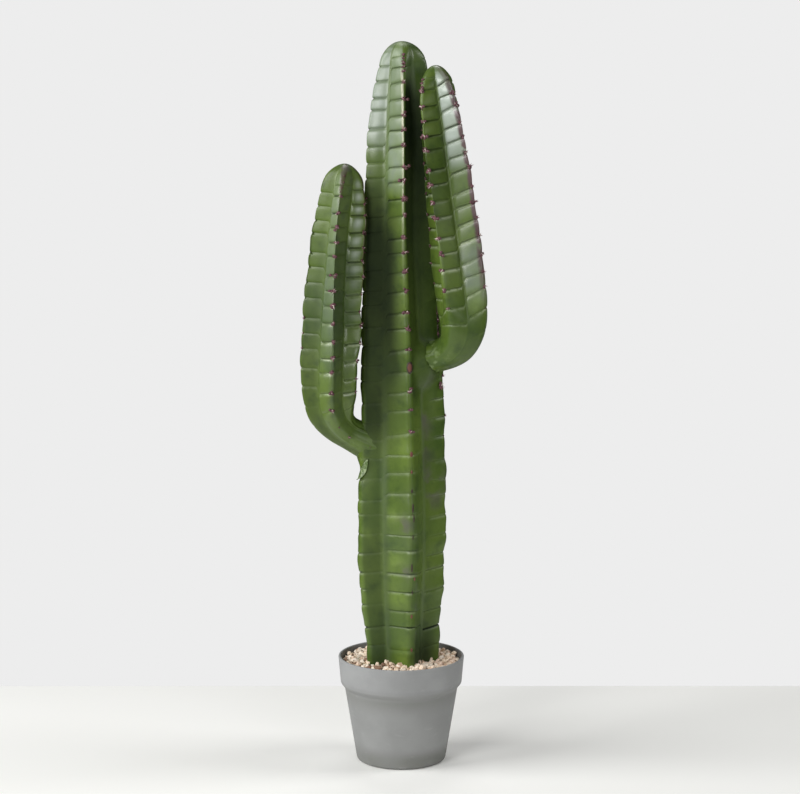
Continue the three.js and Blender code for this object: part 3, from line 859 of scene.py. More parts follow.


def skin_masks(limb, rib, across, s, t, pads):
    """What the finish reads at each point, from 0 to 1: painted sheen, painted shade, painted highlights,
    stains, scuffs and so on.
    """
    side = side_of(across)
    tone = of_face(limb, limb.tone, rib, across, s)
    own_painted_light = own_face(limb, limb.tone, rib, side, s)
    at_groove, by_middle = SHEEN_SHARES
    pad_top = ease(t, *SHEEN_FOOT) * (at_groove + by_middle * ease(pads.near, 0, SHEEN_RIM))
    width, height = GLEAM_SPREAD
    spot = np.exp(-((t - 0.5) / width) ** 2 - ((pads.part - 0.5) / height) ** 2)
    strength = np.clip(pads.depth / FULL_GROOVE, 0, 1) * pads.kept * pads.sharp
    lip = np.exp(-((pads.below - LIP_DROP) / LIP_HALF_WIDTH) ** 2) * limb.lip_highlight(s)
    off_stripe = np.abs(across / CREST_PART - limb.stripe_place)
    stripe = 1 - ease(off_stripe, limb.stripe_width / 2, limb.stripe_width)
    return {
        # painted shade in the grooves
        "groove": pads.notch * limb.dark(s) * strength * pads.on_face,
        # painted highlight on each pad's lip, just below a groove
        "lip": lip * strength * pads.sharp * pads.on_face,
        # a stain along a crest, and on the trunk's front crest a painted cream highlight
        "stripe": stripe * own_rib(limb, limb.stripe, rib, s),
        # painted highlight along the valleys, left out where painted shade lies
        "valley": np.exp(-(t / VALLEY_SPREAD) ** 2) * limb.valley_pale * (1 - np.clip(-tone, 0, 1)),
        "tint": np.clip(PAD_TINT * pads.chance + of_face(limb, limb.sunny, rib, across, s), 0, 1),
        "gloss": of_face(limb, limb.gloss, rib, across, s),
        # painted sheen on the pad tops, and a painted highlight in the middle of each pad
        "painted_sheen": np.clip(own_painted_light, 0, 1) * pad_top + own_face(limb, limb.painted_gleam, rib, side, s) * spot,
        # painted shade: dark green where shade falls, beside the arms and in recesses
        "shade": np.clip(-tone, 0, 1) * ease(np.abs(across), 0, np.where(across < 0, *SHADE_FADE)),
        # painted highlights of folds on the right arm's neck
        "fold_highlights": np.clip(limb.fold_highlights(s), 0, 1),
        "scuff": patched(limb, limb.scuffs, rib, across, s),
        "bright": patched(limb, limb.bright, rib, across, s) * pads.on_face,
    }


def skin(limb, rib, across, s, turn, in_dome):
    """Points of the skin in metres, with the masks that its finish reads."""
    shape, outward, t = section(limb, across, s)
    pads = Pads(limb, rib, across, t, s, turn, in_dome)
    into = np.clip((s - limb.length + limb.dome) / limb.dome, 0, 1)
    roundness = np.sqrt(1 - into * into)
    radius = crest_radius(limb, rib, across, s) * roundness
    fillet = limb.valley_round * limb.girth(s) * np.exp(-(t / VALLEY_SPREAD) ** 2) * roundness
    flat = shape * radius[:, None] + outward * pads.relief[:, None] + unit(shape) * fillet[:, None]
    points = stood_up(limb, rib, across, s, flat)
    if limb is trunk:
        points = swollen_at_roots(points)
    masks = skin_masks(limb, rib, across, s, t, pads)
    return points * MM, {name: mask + 0 * s for name, mask in masks.items()}


print("skin rule ready")

# %% [markdown]
# ## Rolling a grid into a limb
# The skin starts as a flat grid: its width goes round the limb and its height goes up. Every point is
# moved to its place by the rule above. The first and last columns then lie on each other, a whole number
# of grooves higher, and are merged. So are the points that gather at the foot and at the tip. A grid
# keeps rows along the grooves, where a remeshed surface would blur them.

# %% Space the columns of a rib
FACE_COLUMNS = 10
CREST_COLUMNS = 6
COLUMN_SHARES = (0.45, 0.55)  # of even spacing, and of spacing that is closer at the edges


def rib_columns():
    """Places across a rib, from its left valley to just before its right one, closer at the edges."""
    k = np.linspace(0, 1, FACE_COLUMNS + 1)
    even, closer = COLUMN_SHARES
    eased = even * k + closer * (1 - np.cos(math.pi * k)) / 2
    left = -1 + (1 - CREST_PART) * eased
    crest = np.linspace(-CREST_PART, CREST_PART, CREST_COLUMNS + 1)[1:-1]
    return np.concatenate([left, crest, -left[::-1][:-1]])


print("rib columns:", np.round(rib_columns(), 2))

# %% Make a piece
def add_piece(name, bm, material, smooth=True):
    """Makes a piece of a bmesh and lets it ride with the plant."""
    for face in bm.faces:
        face.smooth = smooth
    mesh = bpy.data.meshes.new(name)
    bm.to_mesh(mesh)
    bm.free()
    mesh.materials.append(material)
    piece = bpy.data.objects.new(name, mesh)
    scene.collection.objects.link(piece)
    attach(piece, "root")
    mesh.calc_loop_triangles()
    print(name, len(mesh.loop_triangles), "triangles")
    return piece


print("pieces ride on the root body")

# %% Roll a grid round a limb
PAD_ROWS = (0, 0.022, 0.05, 0.09, 0.15, 0.26, 0.4, 0.54, 0.67, 0.77, 0.84, 0.89, 0.93, 0.96, 0.982)
DOME_STEPS = 14
SPARE_TURNS = 2  # rows past both ends, since slant and lag move grooves
END_SNAP = 1.2  # rows that come nearer than this to an end are drawn to it
MERGE_GAP = 0.01


def limb_skin(limb):
    """A limb's skin as a bmesh, with its masks on the points."""
    places = rib_columns()
    columns = len(places) * limb.ribs
    spare = abs(limb.climb) + SPARE_TURNS
    first_turn = -spare
    wall_rows = int(math.ceil(limb.turns) + 2 * spare) * len(PAD_ROWS)
    rows = wall_rows + DOME_STEPS + 1
    bm = bmesh.new()
    bmesh.ops.create_grid(bm, x_segments=columns, y_segments=rows, size=0.5)
    flat = np.array([vert.co for vert in bm.verts])
    column = np.rint((flat[:, 0] + 0.5) * columns).astype(int)
    row = np.rint((flat[:, 1] + 0.5) * rows).astype(int)

    rib = column // len(places)
    across = places[column % len(places)]
    wall_row = np.clip(row - 1, 0, wall_rows - 1)
    turn = first_turn + wall_row // len(PAD_ROWS) + np.array(PAD_ROWS)[wall_row % len(PAD_ROWS)]
    wall_end = limb.length - limb.cap
    s = row_length(limb, rib, across, turn)
    s = np.where(s < END_SNAP, 0, np.where(s > wall_end - END_SNAP, wall_end, s))
    dome_row = row - wall_rows
    in_dome = dome_row > 0
    s = np.where(in_dome, wall_end + limb.cap * np.sin(np.pi / 2 * dome_row / (DOME_STEPS + 1)), s)

    points, masks = skin(limb, rib, across, s, turn, in_dome)
    ends = np.where(row == 0, 0.0, limb.length)
    at_end = (row == 0) | (row == rows)
    points[at_end] = limb.at(limb.line, ends[at_end]) * MM
    layers = {name: bm.verts.layers.float.new(name) for name in masks}
    for index, vert in enumerate(bm.verts):
        vert.co = points[index]
        for name, layer in layers.items():
            vert[layer] = masks[name][index]
    bmesh.ops.remove_doubles(bm, verts=bm.verts, dist=MERGE_GAP * MM)
    bmesh.ops.dissolve_degenerate(bm, edges=bm.edges, dist=MERGE_GAP * MM)
    bmesh.ops.recalc_face_normals(bm, faces=bm.faces)
    return bm


print("rows of points on a pad:", len(PAD_ROWS))

# %% [markdown]
# ## The skin's finish
# The real skin is cast plastic with a soft gloss. Its green is mottled on the scale of a hand and a little
# different from pad to pad. Painted sheen whitens the tops of the upper pads, and painted shade darkens the
# grooves to nearly black and the faces in the recesses beside the arms. Painted highlights brighten the
# pads' lips and the valleys, and lie as folds on the right arm's neck, which the mesh does not have. The
# trunk's front crest carries a painted cream highlight, the left arm's crests are brown and the right
# arm's outer one is stained brown-mauve. There are bright pads and grey scuffs. An image could hold all
# this, but it would blur close by. Here every colour lies on a mask of the mesh or on Object coordinates,
# so it holds from every side.

# %% Mix the skin's green
# Of these colours, the pale ones for the valleys, the lips, the pads' sheen and the neck's folds are painted
# highlights and sheen, and the dark ones for the grooves and the shade are painted shade.
SKIN_COLOURS = {
    "deep": srgb(58, 82, 28), "open": srgb(88, 110, 42), "sunny": srgb(104, 124, 50),
    "blot": srgb(46, 68, 26), "fleck": srgb(56, 74, 32), "bright": srgb(132, 158, 62),
    "valley": srgb(112, 128, 92), "sheen_colour": srgb(184, 195, 185), "lip": srgb(196, 208, 172),
    "fold_highlights": srgb(150, 168, 118), "scuff": srgb(98, 96, 86), "groove": srgb(26, 38, 16),
    "shade": srgb(14, 25, 8),
}
SKIN_ROUGHNESS = 0.38
SKIN_SPECULAR = 0.35
COAT_ROUGHNESS = 0.24


def skin_finish(name, stripe_colour):
    """The green of one limb, with the colour of the stripe along its crests."""
    material, shader = new_finish(name)
    mask = shader.mask
    fade = shader.fade
    colours = {**SKIN_COLOURS, "stripe": stripe_colour}
    broad = fade(shader.noise(14.0, 3.0, (1, 1, 0.6)), 0.35, 0.65)
    blots = shader.noise(55.0, 3.0)
    mottle = shader.noise(130.0, 3.0)
    grain = shader.noise(900.0, 2.0)
    green = shader.paint(broad, colours["deep"], colours["open"])
    coats = (
        (mask("tint") * 0.45, "sunny"),
        (fade(blots, 0.5, 0.75) * 0.55, "blot"),
        (fade(mottle, 0.5, 0.8) * 0.3, "fleck"),
        (mask("bright") * fade(blots, 0.3, 0.65) * 0.42, "bright"),
        # painted highlight along the valleys
        (mask("valley"), "valley"),
        # painted sheen on the upper pads
        (mask("painted_sheen") * (0.7 + fade(blots, 0.3, 0.7) * 0.3), "sheen_colour"),
        # painted highlight on the lips
        (mask("lip") * fade(mottle, 0.3, 0.55), "lip"),
        # painted highlights of folds on the neck
        (mask("fold_highlights") * fade(mottle, 0.5, 0.66) * 0.4, "fold_highlights"),
        # stains on the arms' crests, a painted cream highlight on the trunk's front crest
        (mask("stripe") * fade(mottle, 0.22, 0.5), "stripe"),
        (mask("scuff") * fade(blots, 0.4, 0.6) * 0.7, "scuff"),
        # painted shade, nearly black, in the grooves
        (mask("groove") * 0.85, "groove"),
        # painted shade beside the arms and in recesses
        (mask("shade") * 0.9, "shade"),
    )
    for amount, colour in coats:
        green = shader.paint(amount, green, colours[colour])
    dents = shader.bump(grain + mottle * 2.0, 0.4 * MM, 0.08)
    rough = SKIN_ROUGHNESS + mask("groove") * 0.3 + mask("shade") * 0.55
    shader.surface(base_color=green, roughness=rough, normal=dents, specular_ior_level=SKIN_SPECULAR,
                   coat_weight=mask("gloss") * (1 - mask("shade")), coat_roughness=COAT_ROUGHNESS)
    return material


print("colours on the skin:", ", ".join(SKIN_COLOURS))

# %% Make the three skins
# the trunk's cream is a painted highlight along its front crest's left edge; the arms' brown and mauve are
# stains
CREST_HIGHLIGHT = srgb(204, 204, 174)
MAUVE = srgb(94, 75, 75)
BROWN = srgb(84, 68, 56)
for limb, replaced, stripe_colour in (
    (trunk, ("trunk",), CREST_HIGHLIGHT),
    (left_arm, ("left_arm_elbow", "left_arm_finger"), BROWN),
    (right_arm, ("right_arm_elbow", "right_arm_finger"), MAUVE),
):
    finish = skin_finish(limb.name + "_green", stripe_colour)
    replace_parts(add_piece(limb.name + "_skin", limb_skin(limb), finish), *replaced)

# %% [markdown]
# ## A torn flap of skin
# Under the left arm a small, pale leaf of skin stands off the trunk, as if a bud had been pulled away. A
# loose plane could be bent by eye. Here a grid is laid on the trunk by the trunk's own rule, drawn to a
# leaf's outline and lifted along its right edge, so that a dark line shows beside it. Solidify gives it a
# thickness.

# %% Lay the flap on the trunk
FLAP_RIB = 1
FLAP_FROM = (0.42, 267)  # place across the rib, length up the trunk
FLAP_TO = (-0.06, 242)
FLAP_WIDTH = (0.12, -3.2)  # half its width as a step across the rib and up the trunk
FLAP_ENDS = (0.04, 0.93)  # where the leaf's outline starts on half a sine wave, and how far it goes
FLAP_FULLNESS = 0.8  # below 1, the outline is fuller than a sine wave
FLAP_GAP = 0.8
FLAP_LIFT = 2.4
FLAP_END_LIFT = 1.6
FLAP_THICKNESS = 0.7
FLAP_STEPS = (10, 6)


def flap_leaf():
    bm = bmesh.new()
    bmesh.ops.create_grid(bm, x_segments=FLAP_STEPS[0], y_segments=FLAP_STEPS[1], size=0.5)
    flat = np.array([vert.co for vert in bm.verts])
    u = flat[:, 0] + 0.5
    start, run = FLAP_ENDS
    v = flat[:, 1] * 2 * np.sin(math.pi * (start + run * u)) ** FLAP_FULLNESS
    across = FLAP_FROM[0] + (FLAP_TO[0] - FLAP_FROM[0]) * u + FLAP_WIDTH[0] * v
    s = FLAP_FROM[1] + (FLAP_TO[1] - FLAP_FROM[1]) * u + FLAP_WIDTH[1] * v
    points, _ = skin(trunk, FLAP_RIB + 0 * s, across, s, 0.5 + 0 * s, s < 0)
    outward = unit(points - trunk.at(trunk.line, s) * MM)
    lift = FLAP_GAP + FLAP_LIFT * ((1 + flat[:, 1] * 2) / 2) ** 2 + FLAP_END_LIFT * u * u
    points = points + outward * lift[:, None] * MM
    for index, vert in enumerate(bm.verts):
        vert.co = points[index]
    bmesh.ops.solidify(bm, geom=bm.faces, thickness=FLAP_THICKNESS * MM)
    bmesh.ops.recalc_face_normals(bm, faces=bm.faces)
    return bm


def flap_finish():
    material, shader = new_finish("flap_green")
    cloud = shader.fade(shader.noise(260.0, 2.0), 0.42, 0.66)
    colour = shader.paint(cloud, srgb(78, 100, 48), srgb(146, 162, 118))
    shader.surface(base_color=colour, roughness=0.4)
    return material


add_piece("torn_flap", flap_leaf(), flap_finish())

# %% [markdown]
# ## Tufts on the crests
# Where a groove meets a crest, the real plant carries a tuft: a plum-coloured cushion with a few short,
# soft spines. They are large on the upper ribs and crowd together near the tips. Low on the trunk only
# flat scars and dark cracks are left of them. Particles could set them, but then none could be put at a
# certain place. There are some hundreds, so each is made of very few faces. A cushion is a flattened
# icosphere and a spine is a four-sided cone, both set down by a matrix, and all of one colour are joined
# in one mesh.

# %% List the scars and the crowded tufts
SCARS = (  # rib of the trunk, place across it, length up the trunk, size, kind
    (2, 0, 385, 13.5, "mark"), (2, 0, 385, 11.0, "dab"), (2, 0, 279, 6.0, "dab"), (2, 0, 257, 4.0, "dab"),
    (2, 0, 233, 4.5, "mark"), (2, 0, 212, 10.0, "crack"), (2, 0.03, 198, 8.0, "crack"),
    (2, 0, 175, 6.0, "crack"), (2, -0.03, 136, 10.0, "crack"), (2, 0.05, 122, 4.0, "dab"),
    (2, 0, 105, 6.0, "crack"), (2, 0, 73, 4.5, "dab"), (2, 0, 30, 4.5, "dab"),
    (3, -0.2, 416, 11.0, "mark"), (3, -0.2, 428, 11.0, "mark"), (3, -0.22, 440, 11.0, "mark"),
    (3, -0.22, 452, 10.0, "mark"), (3, -0.24, 466, 9.0, "mark"), (3, -0.24, 484, 8.0, "mark"),
)
CLUSTERS = (  # limb, rib, place across it, lengths up the limb (below 0: back from its tip), size
    (trunk, 2, 0.0, (744, 749, 754, 759, 763), 6.5),
    (right_arm, 1, 0.0, (-30, -25, -20, -15), 6.0),
    (left_arm, 2, 0.0, (-34, -28, -22, -14), 4.0),
    (trunk, 3, -0.2, (355, 358), 9.0),
    (trunk, 3, -0.24, (414, 422, 431, 439, 448, 470), 6.0),
)
print(len(SCARS), "scars and", len(CLUSTERS), "crowded rows")

# %% Find places on the crests
SMALLEST_TUFT = 2.2
SCAR_CLEARANCE = 8.0  # no tuft grows so near to a scar
FOOT_CLEARANCE = 12  # nor so near to a limb's foot
DOME_CLEARANCE = 6  # nor so near below its dome
SPARE_GROOVES = 4  # grooves past both ends that are looked at, since lag and climb move them


def crest_places(limb, rib, s, turn, in_dome, across=0.0):
    """Points on a rib's crest or beside it, with the outward and upward direction at each."""
    points, _ = skin(limb, rib + 0 * s, across + 0 * s, s, turn, in_dome)
    away = points - limb.at(limb.line, s) * MM
    return [(Vector(point), Vector(out).normalized(), Vector(up))
            for point, out, up in zip(points, away, limb.at(limb.tangents, s))]


def crest_tufts(limb):
    """A limb's tufts as places and sizes: one where each groove meets a crest."""
    tufts = []
    turns = np.arange(-float(SPARE_GROOVES), math.ceil(limb.turns) + SPARE_GROOVES)
    for rib in range(limb.ribs):
        s = groove_length(limb, rib + 0 * turns, 0 * turns, turns)
        sizes = limb.tufts.get(rib, limb.tufts["other"])(s)
        kept = (sizes > SMALLEST_TUFT) & (s > FOOT_CLEARANCE)
        kept &= s < limb.length - limb.dome - DOME_CLEARANCE
        for scarred, across, place, _, _ in SCARS:
            if limb is trunk and rib == scarred and across == 0:
                kept &= np.abs(s - place) > SCAR_CLEARANCE
        tufts += zip(crest_places(limb, rib, s[kept], turns[kept], s[kept] < 0), sizes[kept])
    return tufts


def cluster_tufts(limb, rib, across, lengths, size):
    """A short, dense row of tufts."""
    s = np.mod(np.array(lengths, float), limb.length)
    return [(place, size) for place in crest_places(limb, rib, s, 0 * s, s > 0, across)]


print(len(crest_tufts(trunk)), "tufts on the trunk's crests")

# %% Shape a tuft and a scar
BARE_TUFT = 4.2  # a tuft smaller than this has no spines
TUFT_LIFT = 0.14  # this and the next sizes are parts of a tuft's size
CUSHION_SPANS = ((0.24, 0.38), (0.2, 0.32), (0.14, 0.22))
CUSHION_BLOBS = 3
CUSHION_SCATTER = (0.22, 0.16)  # across the crest and along it
SPINE_LENGTHS = (0.4, 0.75)
SPINE_RADIUS = 0.11
SPINE_COUNTS = (5, 6, 7)
SPINE_TILTS = (15, 80)  # degrees off the outward direction
PALE_SPINES = 0.25  # how many of them are pale
SCAR_SHAPES = {  # colour group, half its width, length and height for each part of the size
    "dab": ("dab", 0.3, 0.6, 0.1), "mark": ("mark", 0.3, 0.6, 0.065), "crack": ("mark", 0.12, 0.6, 0.06),
}


def frame_at(place, outward, upward):
    """A matrix that stands its Z axis on a place, pointing outward, with Y along the crest."""
    side = upward.cross(outward).normalized()
    ahead = outward.cross(side)
    turned = Matrix((side, ahead, outward)).transposed().to_4x4()
    return Matrix.Translation(place) @ turned


def add_tuft(groups, place, size, dice):
    """A cushion of a few blobs, with spines that stand off it on all sides."""
    point, outward, upward = place
    stand = frame_at(point + outward * TUFT_LIFT * size * MM, outward, upward)
    bare = size < BARE_TUFT
    for _ in range(1 if bare else CUSHION_BLOBS):
        across, ahead = [dice.gauss(0, spread) * size * MM for spread in CUSHION_SCATTER]
        shift = Matrix.Translation((across, ahead, 0))
        flat = Matrix.Diagonal([size * MM * dice.uniform(*span) for span in CUSHION_SPANS]).to_4x4()
        bmesh.ops.create_icosphere(groups["cushion"], subdivisions=1, radius=1, matrix=stand @ shift @ flat)
    for _ in range(0 if bare else dice.choice(SPINE_COUNTS)):
        turn = dice.uniform(0, math.tau)
        tip = math.radians(dice.uniform(*SPINE_TILTS))
        length = size * dice.uniform(*SPINE_LENGTHS) * MM
        lean = Matrix.Rotation(turn, 4, "Z") @ Matrix.Rotation(tip, 4, "X")
        shift = Matrix.Translation((0, 0, length / 2))
        group = groups["pale_spine" if dice.random() < PALE_SPINES else "spine"]
        bmesh.ops.create_cone(group, segments=4, radius1=SPINE_RADIUS * size * MM, radius2=0, depth=length,
                              cap_ends=False, matrix=stand @ lean @ shift)


def add_scar(groups, rib, across, s, size, kind):
    """A flat, reddish or brown scar on a crest of the trunk."""
    place = crest_places(trunk, rib, np.array([s]), np.array([0.5]), np.array([False]), across)[0]
    group, *shape = SCAR_SHAPES[kind]
    flat = Matrix.Diagonal([share * size * MM for share in shape]).to_4x4()
    bmesh.ops.create_icosphere(groups[group], subdivisions=2, radius=1, matrix=frame_at(*place) @ flat)


print("kinds of scar:", ", ".join(SCAR_SHAPES))

# %% Set the tufts
TUFT_COLOURS = {"cushion": srgb(98, 62, 68), "spine": srgb(138, 94, 102), "pale_spine": srgb(214, 200, 190),
                "dab": srgb(112, 66, 54), "mark": srgb(60, 48, 36)}
TUFT_CHANCE = (0.75, 1.1)  # sizes vary between these shares
TUFT_ROUGHNESS = 0.5
TUFT_SEED = 5


def plain_finish(name, colour, roughness):
    material, shader = new_finish(name)
    shader.surface(base_color=colour, roughness=roughness)
    return material


def add_tufts():
    dice = random.Random(TUFT_SEED)
    groups = {name: bmesh.new() for name in TUFT_COLOURS}
    tufts = [tuft for limb in (trunk, left_arm, right_arm) for tuft in crest_tufts(limb)]
    tufts += [tuft for cluster in CLUSTERS for tuft in cluster_tufts(*cluster)]
    for place, size in tufts:
        add_tuft(groups, place, size * dice.uniform(*TUFT_CHANCE), dice)
    for scar in SCARS:
        add_scar(groups, *scar)
    for name, bm in groups.items():
        finish = plain_finish("tuft_" + name, TUFT_COLOURS[name], TUFT_ROUGHNESS)
        add_piece("tuft_" + name, bm, finish)
    print(len(tufts), "tufts")


add_tufts()

# %% [markdown]
# ## The pot
# The pot is a thin moulded shell: a tapered wall, a bevel and a wider collar with a rounded lip. Its half
# outline is drawn with sharp corners and spun round the upright axis, and then each ring of corners is
# bevelled by its own amount. Rounding after the spin keeps the drawing down to ten corners.

# %% Spin the pot
POT_CORNERS = (  # radius, height, rounding
    (0, 0, 0), (55.5, 0, 4), (71, 94, 1.2), (76, 100, 1.4), (79, 134, 1.7),
    (75.5, 134, 1.5), (73, 100, 1), (68, 94, 1), (53.2, 4, 0), (0, 4, 0),
)
POT_STEPS = 96
ROUNDING_STEPS = 4
RING_GAP = 0.1  # a point as near as this to a corner's ring lies on it


def spun(corners, steps):
    """A closed shell from an outline of (radius, height) that starts and ends on the axis."""
    bm = bmesh.new()
    verts = [bm.verts.new((radius * MM, 0, height * MM)) for radius, height in corners]
    edges = [bm.edges.new(pair) for pair in zip(verts, verts[1:])]
    bmesh.ops.spin(bm, geom=verts + edges, cent=(0, 0, 0), axis=(0, 0, 1), dvec=(0, 0, 0),
                   angle=math.tau, steps=steps, use_merge=True)
    bmesh.ops.remove_doubles(bm, verts=bm.verts, dist=MERGE_GAP * MM)
    bmesh.ops.recalc_face_normals(bm, faces=bm.faces)
    return bm


def on_ring(vert, radius, height):
    off = max(abs(vert.co.xy.length - radius * MM), abs(vert.co.z - height * MM))
    return off < RING_GAP * MM


def pot_shell():
    bm = spun([corner[:2] for corner in POT_CORNERS], POT_STEPS)
    for radius, height, rounding in POT_CORNERS:
        if rounding:
            ring = [edge for edge in bm.edges if all(on_ring(vert, radius, height) for vert in edge.verts)]
            bmesh.ops.bevel(bm, geom=ring, offset=rounding * MM, offset_type="OFFSET", affect="EDGES",
                            segments=ROUNDING_STEPS, profile=0.5, material=-1)
    return bm


print("the pot's outline has", len(POT_CORNERS), "corners")

# %% [markdown]
# ## The pot's finish
# The grey plastic is cloudy and has a fine grain. It is darker in patches at the foot and under the
# collar. Painted shade darkens the wall below the collar, and darker painted shade the inside. Two
# finishes on two sets of faces could do this, but a band that fades by height and by distance from the
# axis has no hard edge.

# %% Mix the pot's grey
FOOT_BAND = (10, 30)  # heights between which each of these bands fades
UNDER_COLLAR = (66, 93)
COLLAR_FOOT = (96, 106)
WALL_TOP = (88, 97)
INSIDE_FOOT = (100, 106)
INSIDE_EDGE = (75.4, 76.6)  # distances from the axis
POT_ROUGHNESS = 0.62


def pot_finish():
    material, shader = new_finish("grey_pot")

    def fade_over(size, band):
        return shader.fade(size, band[0] * MM, band[1] * MM)

    spot = shader.node("ShaderNodeTexCoord", {}, {}, "Object")
    height = shader.node("ShaderNodeSeparateXYZ", {}, {"Vector": spot}, "Z")
    level = shader.place((1, 1, 0))
    reach = shader.node("ShaderNodeVectorMath", {"operation": "LENGTH"}, {0: level}, "Value")
    cloud = shader.noise(22.0, 4.0)
    streaks = shader.noise(60.0, 3.0, (1, 1, 3))
    grain = shader.noise(700.0, 2.0)
    foot = 1 - fade_over(height, FOOT_BAND)
    under_collar = fade_over(height, UNDER_COLLAR) * (1 - fade_over(height, COLLAR_FOOT))
    wall = 1 - fade_over(height, WALL_TOP)
    patchy = 0.55 + shader.fade(cloud, 0.35, 0.65) * 0.45
    # darker in patches at the foot and under the collar, and painted shade over the whole wall
    darker_bands_and_wall_shade = (foot * 0.7 + under_collar * 0.5) * patchy + wall * 0.24
    # painted shade on the inner wall above the gravel
    inside = (1 - fade_over(reach, INSIDE_EDGE)) * fade_over(height, INSIDE_FOOT)
    grey = shader.paint(shader.fade(cloud, 0.3, 0.7), srgb(142, 143, 143), srgb(154, 155, 155))
    grey = shader.paint(darker_bands_and_wall_shade, grey, srgb(112, 113, 108))
    grey = shader.paint(inside * 0.6, grey, srgb(88, 87, 85))
    grey = shader.paint(shader.fade(streaks, 0.62, 0.75) * 0.15, grey, srgb(172, 172, 171))
    dents = shader.bump(grain, 0.3 * MM, 0.15)
    shader.surface(base_color=grey, roughness=POT_ROUGHNESS + cloud * 0.1, normal=dents)
    return material


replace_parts(add_piece("pot_shell", pot_shell(), pot_finish()), "pot")

# %% [markdown]
# ## The gravel's bed
# The pot is filled with pale, angular chips, mounded a little towards the trunk. Filling it with chips to
# the bottom would waste thousands of them, so a dark bed carries the mound. It is spun like the pot, just
# inside its wall, and its dark brown shows only in the gaps, as painted shade between the chips.

# %% Lay the bed
BED_EDGE = 74.4
BED_AT_WALL = 123
BED_AT_TRUNK = 129
MOUND_STEEPNESS = 1.6
BED_SIDE = ((0, 5), (53, 5), (67.5, 94), (72.4, 100))  # radius and height inside the pot's wall
BED_RINGS = (BED_EDGE, 66, 58, 48, 36, 20, 0)  # radii on the mound
BED_STEPS = 64
BED_ROUGHNESS = 0.9


def bed_height(radius):
    inward = 1 - radius / BED_EDGE
    return BED_AT_WALL + (BED_AT_TRUNK - BED_AT_WALL) * min(1.0, MOUND_STEEPNESS * inward)


def gravel_bed():
    mound = [(radius, bed_height(radius)) for radius in BED_RINGS]
    return spun([*BED_SIDE, *mound], BED_STEPS)


# dark brown, as painted shade in the gaps between the chips
gap_shade_finish = plain_finish("bed_gap_shade", srgb(96, 74, 58), BED_ROUGHNESS)
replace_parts(add_piece("gravel_bed", gravel_bed(), gap_shade_finish), "gravel_fill")

# %% [markdown]
# ## The gravel's chips
# Some hundreds of chips lie on the bed in three layers, the topmost a loose one. Dropping them by a
# simulation would pile them truly, but it takes long and their places would change with every setting.
# Here they are strewn by seeded chance, none too near to another of its layer, and none inside the trunk.
# A chip is a cube with bevelled edges, pulled out of square, turned at random and joined with all others
# of its colour.

# %% Shape a chip
CHIP_BEVEL = 0.22  # of its side
CHIP_SKEW = 0.15
CHIP_SPANS = ((0.85, 1.3), (0.75, 1.05), (0.6, 0.95))
CHIP_TILT = 0.7


def add_chip(bm, place, size, dice):
    made = bmesh.ops.create_cube(bm, size=1)["verts"]
    edges = list({edge for vert in made for edge in vert.link_edges})
    made = bmesh.ops.bevel(bm, geom=edges, offset=CHIP_BEVEL, offset_type="OFFSET", affect="EDGES",
                           segments=1, profile=0.5, material=-1)["verts"]
    for vert in made:
        vert.co += Vector([dice.uniform(-CHIP_SKEW, CHIP_SKEW) for _ in range(3)])
    stretch = [size * MM * dice.uniform(*span) for span in CHIP_SPANS]
    turn = Matrix.Rotation(dice.uniform(0, math.tau), 4, "Z")
    tilt = Matrix.Rotation(dice.gauss(0, CHIP_TILT), 4, "X")
    stand = Matrix.Translation(place) @ (turn @ tilt) @ Matrix.Diagonal((*stretch, 1))
    bmesh.ops.transform(bm, matrix=stand, verts=made)


print("a chip's sides, as parts of its size:", CHIP_SPANS)

# %% Find the trunk's edge in the gravel
TRUNK_CUT = 10.0  # length up the trunk where the gravel meets it


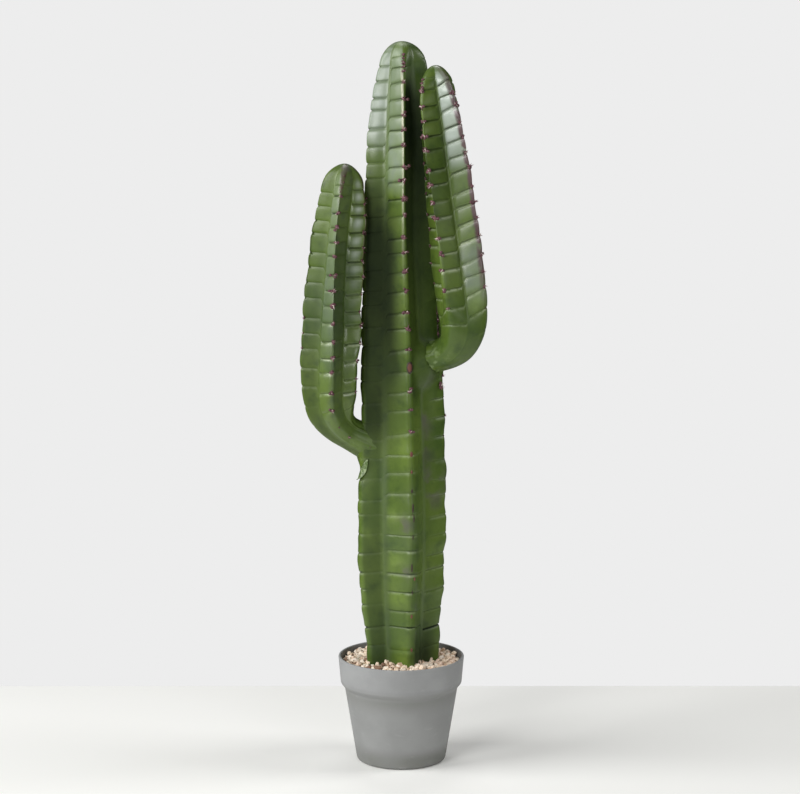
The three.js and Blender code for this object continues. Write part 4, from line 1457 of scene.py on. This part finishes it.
def trunk_outline(s):
    """The trunk's section at a height, as a function from an angle to the skin's distance from the axis."""
    across = np.tile(rib_columns(), trunk.ribs)
    rib = np.repeat(np.arange(trunk.ribs), len(rib_columns()))
    points, _ = skin(trunk, rib, across, s + 0 * across, 0.5 + 0 * across, across > 2)
    angles = np.arctan2(points[:, 1], points[:, 0])
    order = np.argsort(angles)
    reach = np.linalg.norm(points[:, :2], axis=1) / MM
    return lambda angle: np.interp(angle, angles[order], reach[order], period=math.tau)


reach_of_trunk = trunk_outline(TRUNK_CUT)
print("on the right, the trunk's skin is", round(float(reach_of_trunk(0.0))), "mm from the axis")

# %% Strew the chips
CHIP_COLOURS = {  # colour, and how many of twenty chips have it
    "cream": (srgb(246, 232, 214), 6), "beige": (srgb(236, 216, 194), 6), "pinkish": (srgb(230, 206, 186), 4),
    "tan": (srgb(204, 176, 150), 2), "grey": (srgb(214, 202, 186), 1), "brown": (srgb(140, 110, 90), 1),
}
CHIP_LAYERS = ((0.0, 4.4, 6000), (2.8, 5.6, 5000), (5.2, 10.5, 1500))  # lift over the bed, spacing, tries
CHIP_SIZES = (4.0, 6.6)
CHIP_RISE = (-1.4, 1.2)  # how far a chip may lie below or above its layer
WALL_GAP = 2.5
TRUNK_OVERLAP = 1.0
CHIP_ROUGHNESS = 0.8
CHIP_SEED = 11


def add_chips():
    dice = random.Random(CHIP_SEED)
    names = [name for name, (_, share) in CHIP_COLOURS.items() for _ in range(share)]
    groups = {name: bmesh.new() for name in CHIP_COLOURS}
    laid = []
    for lift, spacing, tries in CHIP_LAYERS:
        layer = []
        for _ in range(tries):
            radius = BED_EDGE * math.sqrt(dice.random()) - WALL_GAP
            angle = dice.uniform(-math.pi, math.pi)
            if radius < reach_of_trunk(angle) - TRUNK_OVERLAP:
                continue
            spot = Vector((math.cos(angle) * radius, math.sin(angle) * radius))
            if any((spot - other).length < spacing for other in layer):
                continue
            layer.append(spot)
            height = bed_height(radius) + lift + dice.uniform(*CHIP_RISE)
            place = Vector((spot.x, spot.y, height)) * MM
            add_chip(groups[dice.choice(names)], place, dice.uniform(*CHIP_SIZES), dice)
        laid += layer
    for name, bm in groups.items():
        bmesh.ops.recalc_face_normals(bm, faces=bm.faces)
        finish = plain_finish("chip_" + name, CHIP_COLOURS[name][0], CHIP_ROUGHNESS)
        add_piece("chips_" + name, bm, finish, smooth=False)
    print(len(laid), "chips")


add_chips()
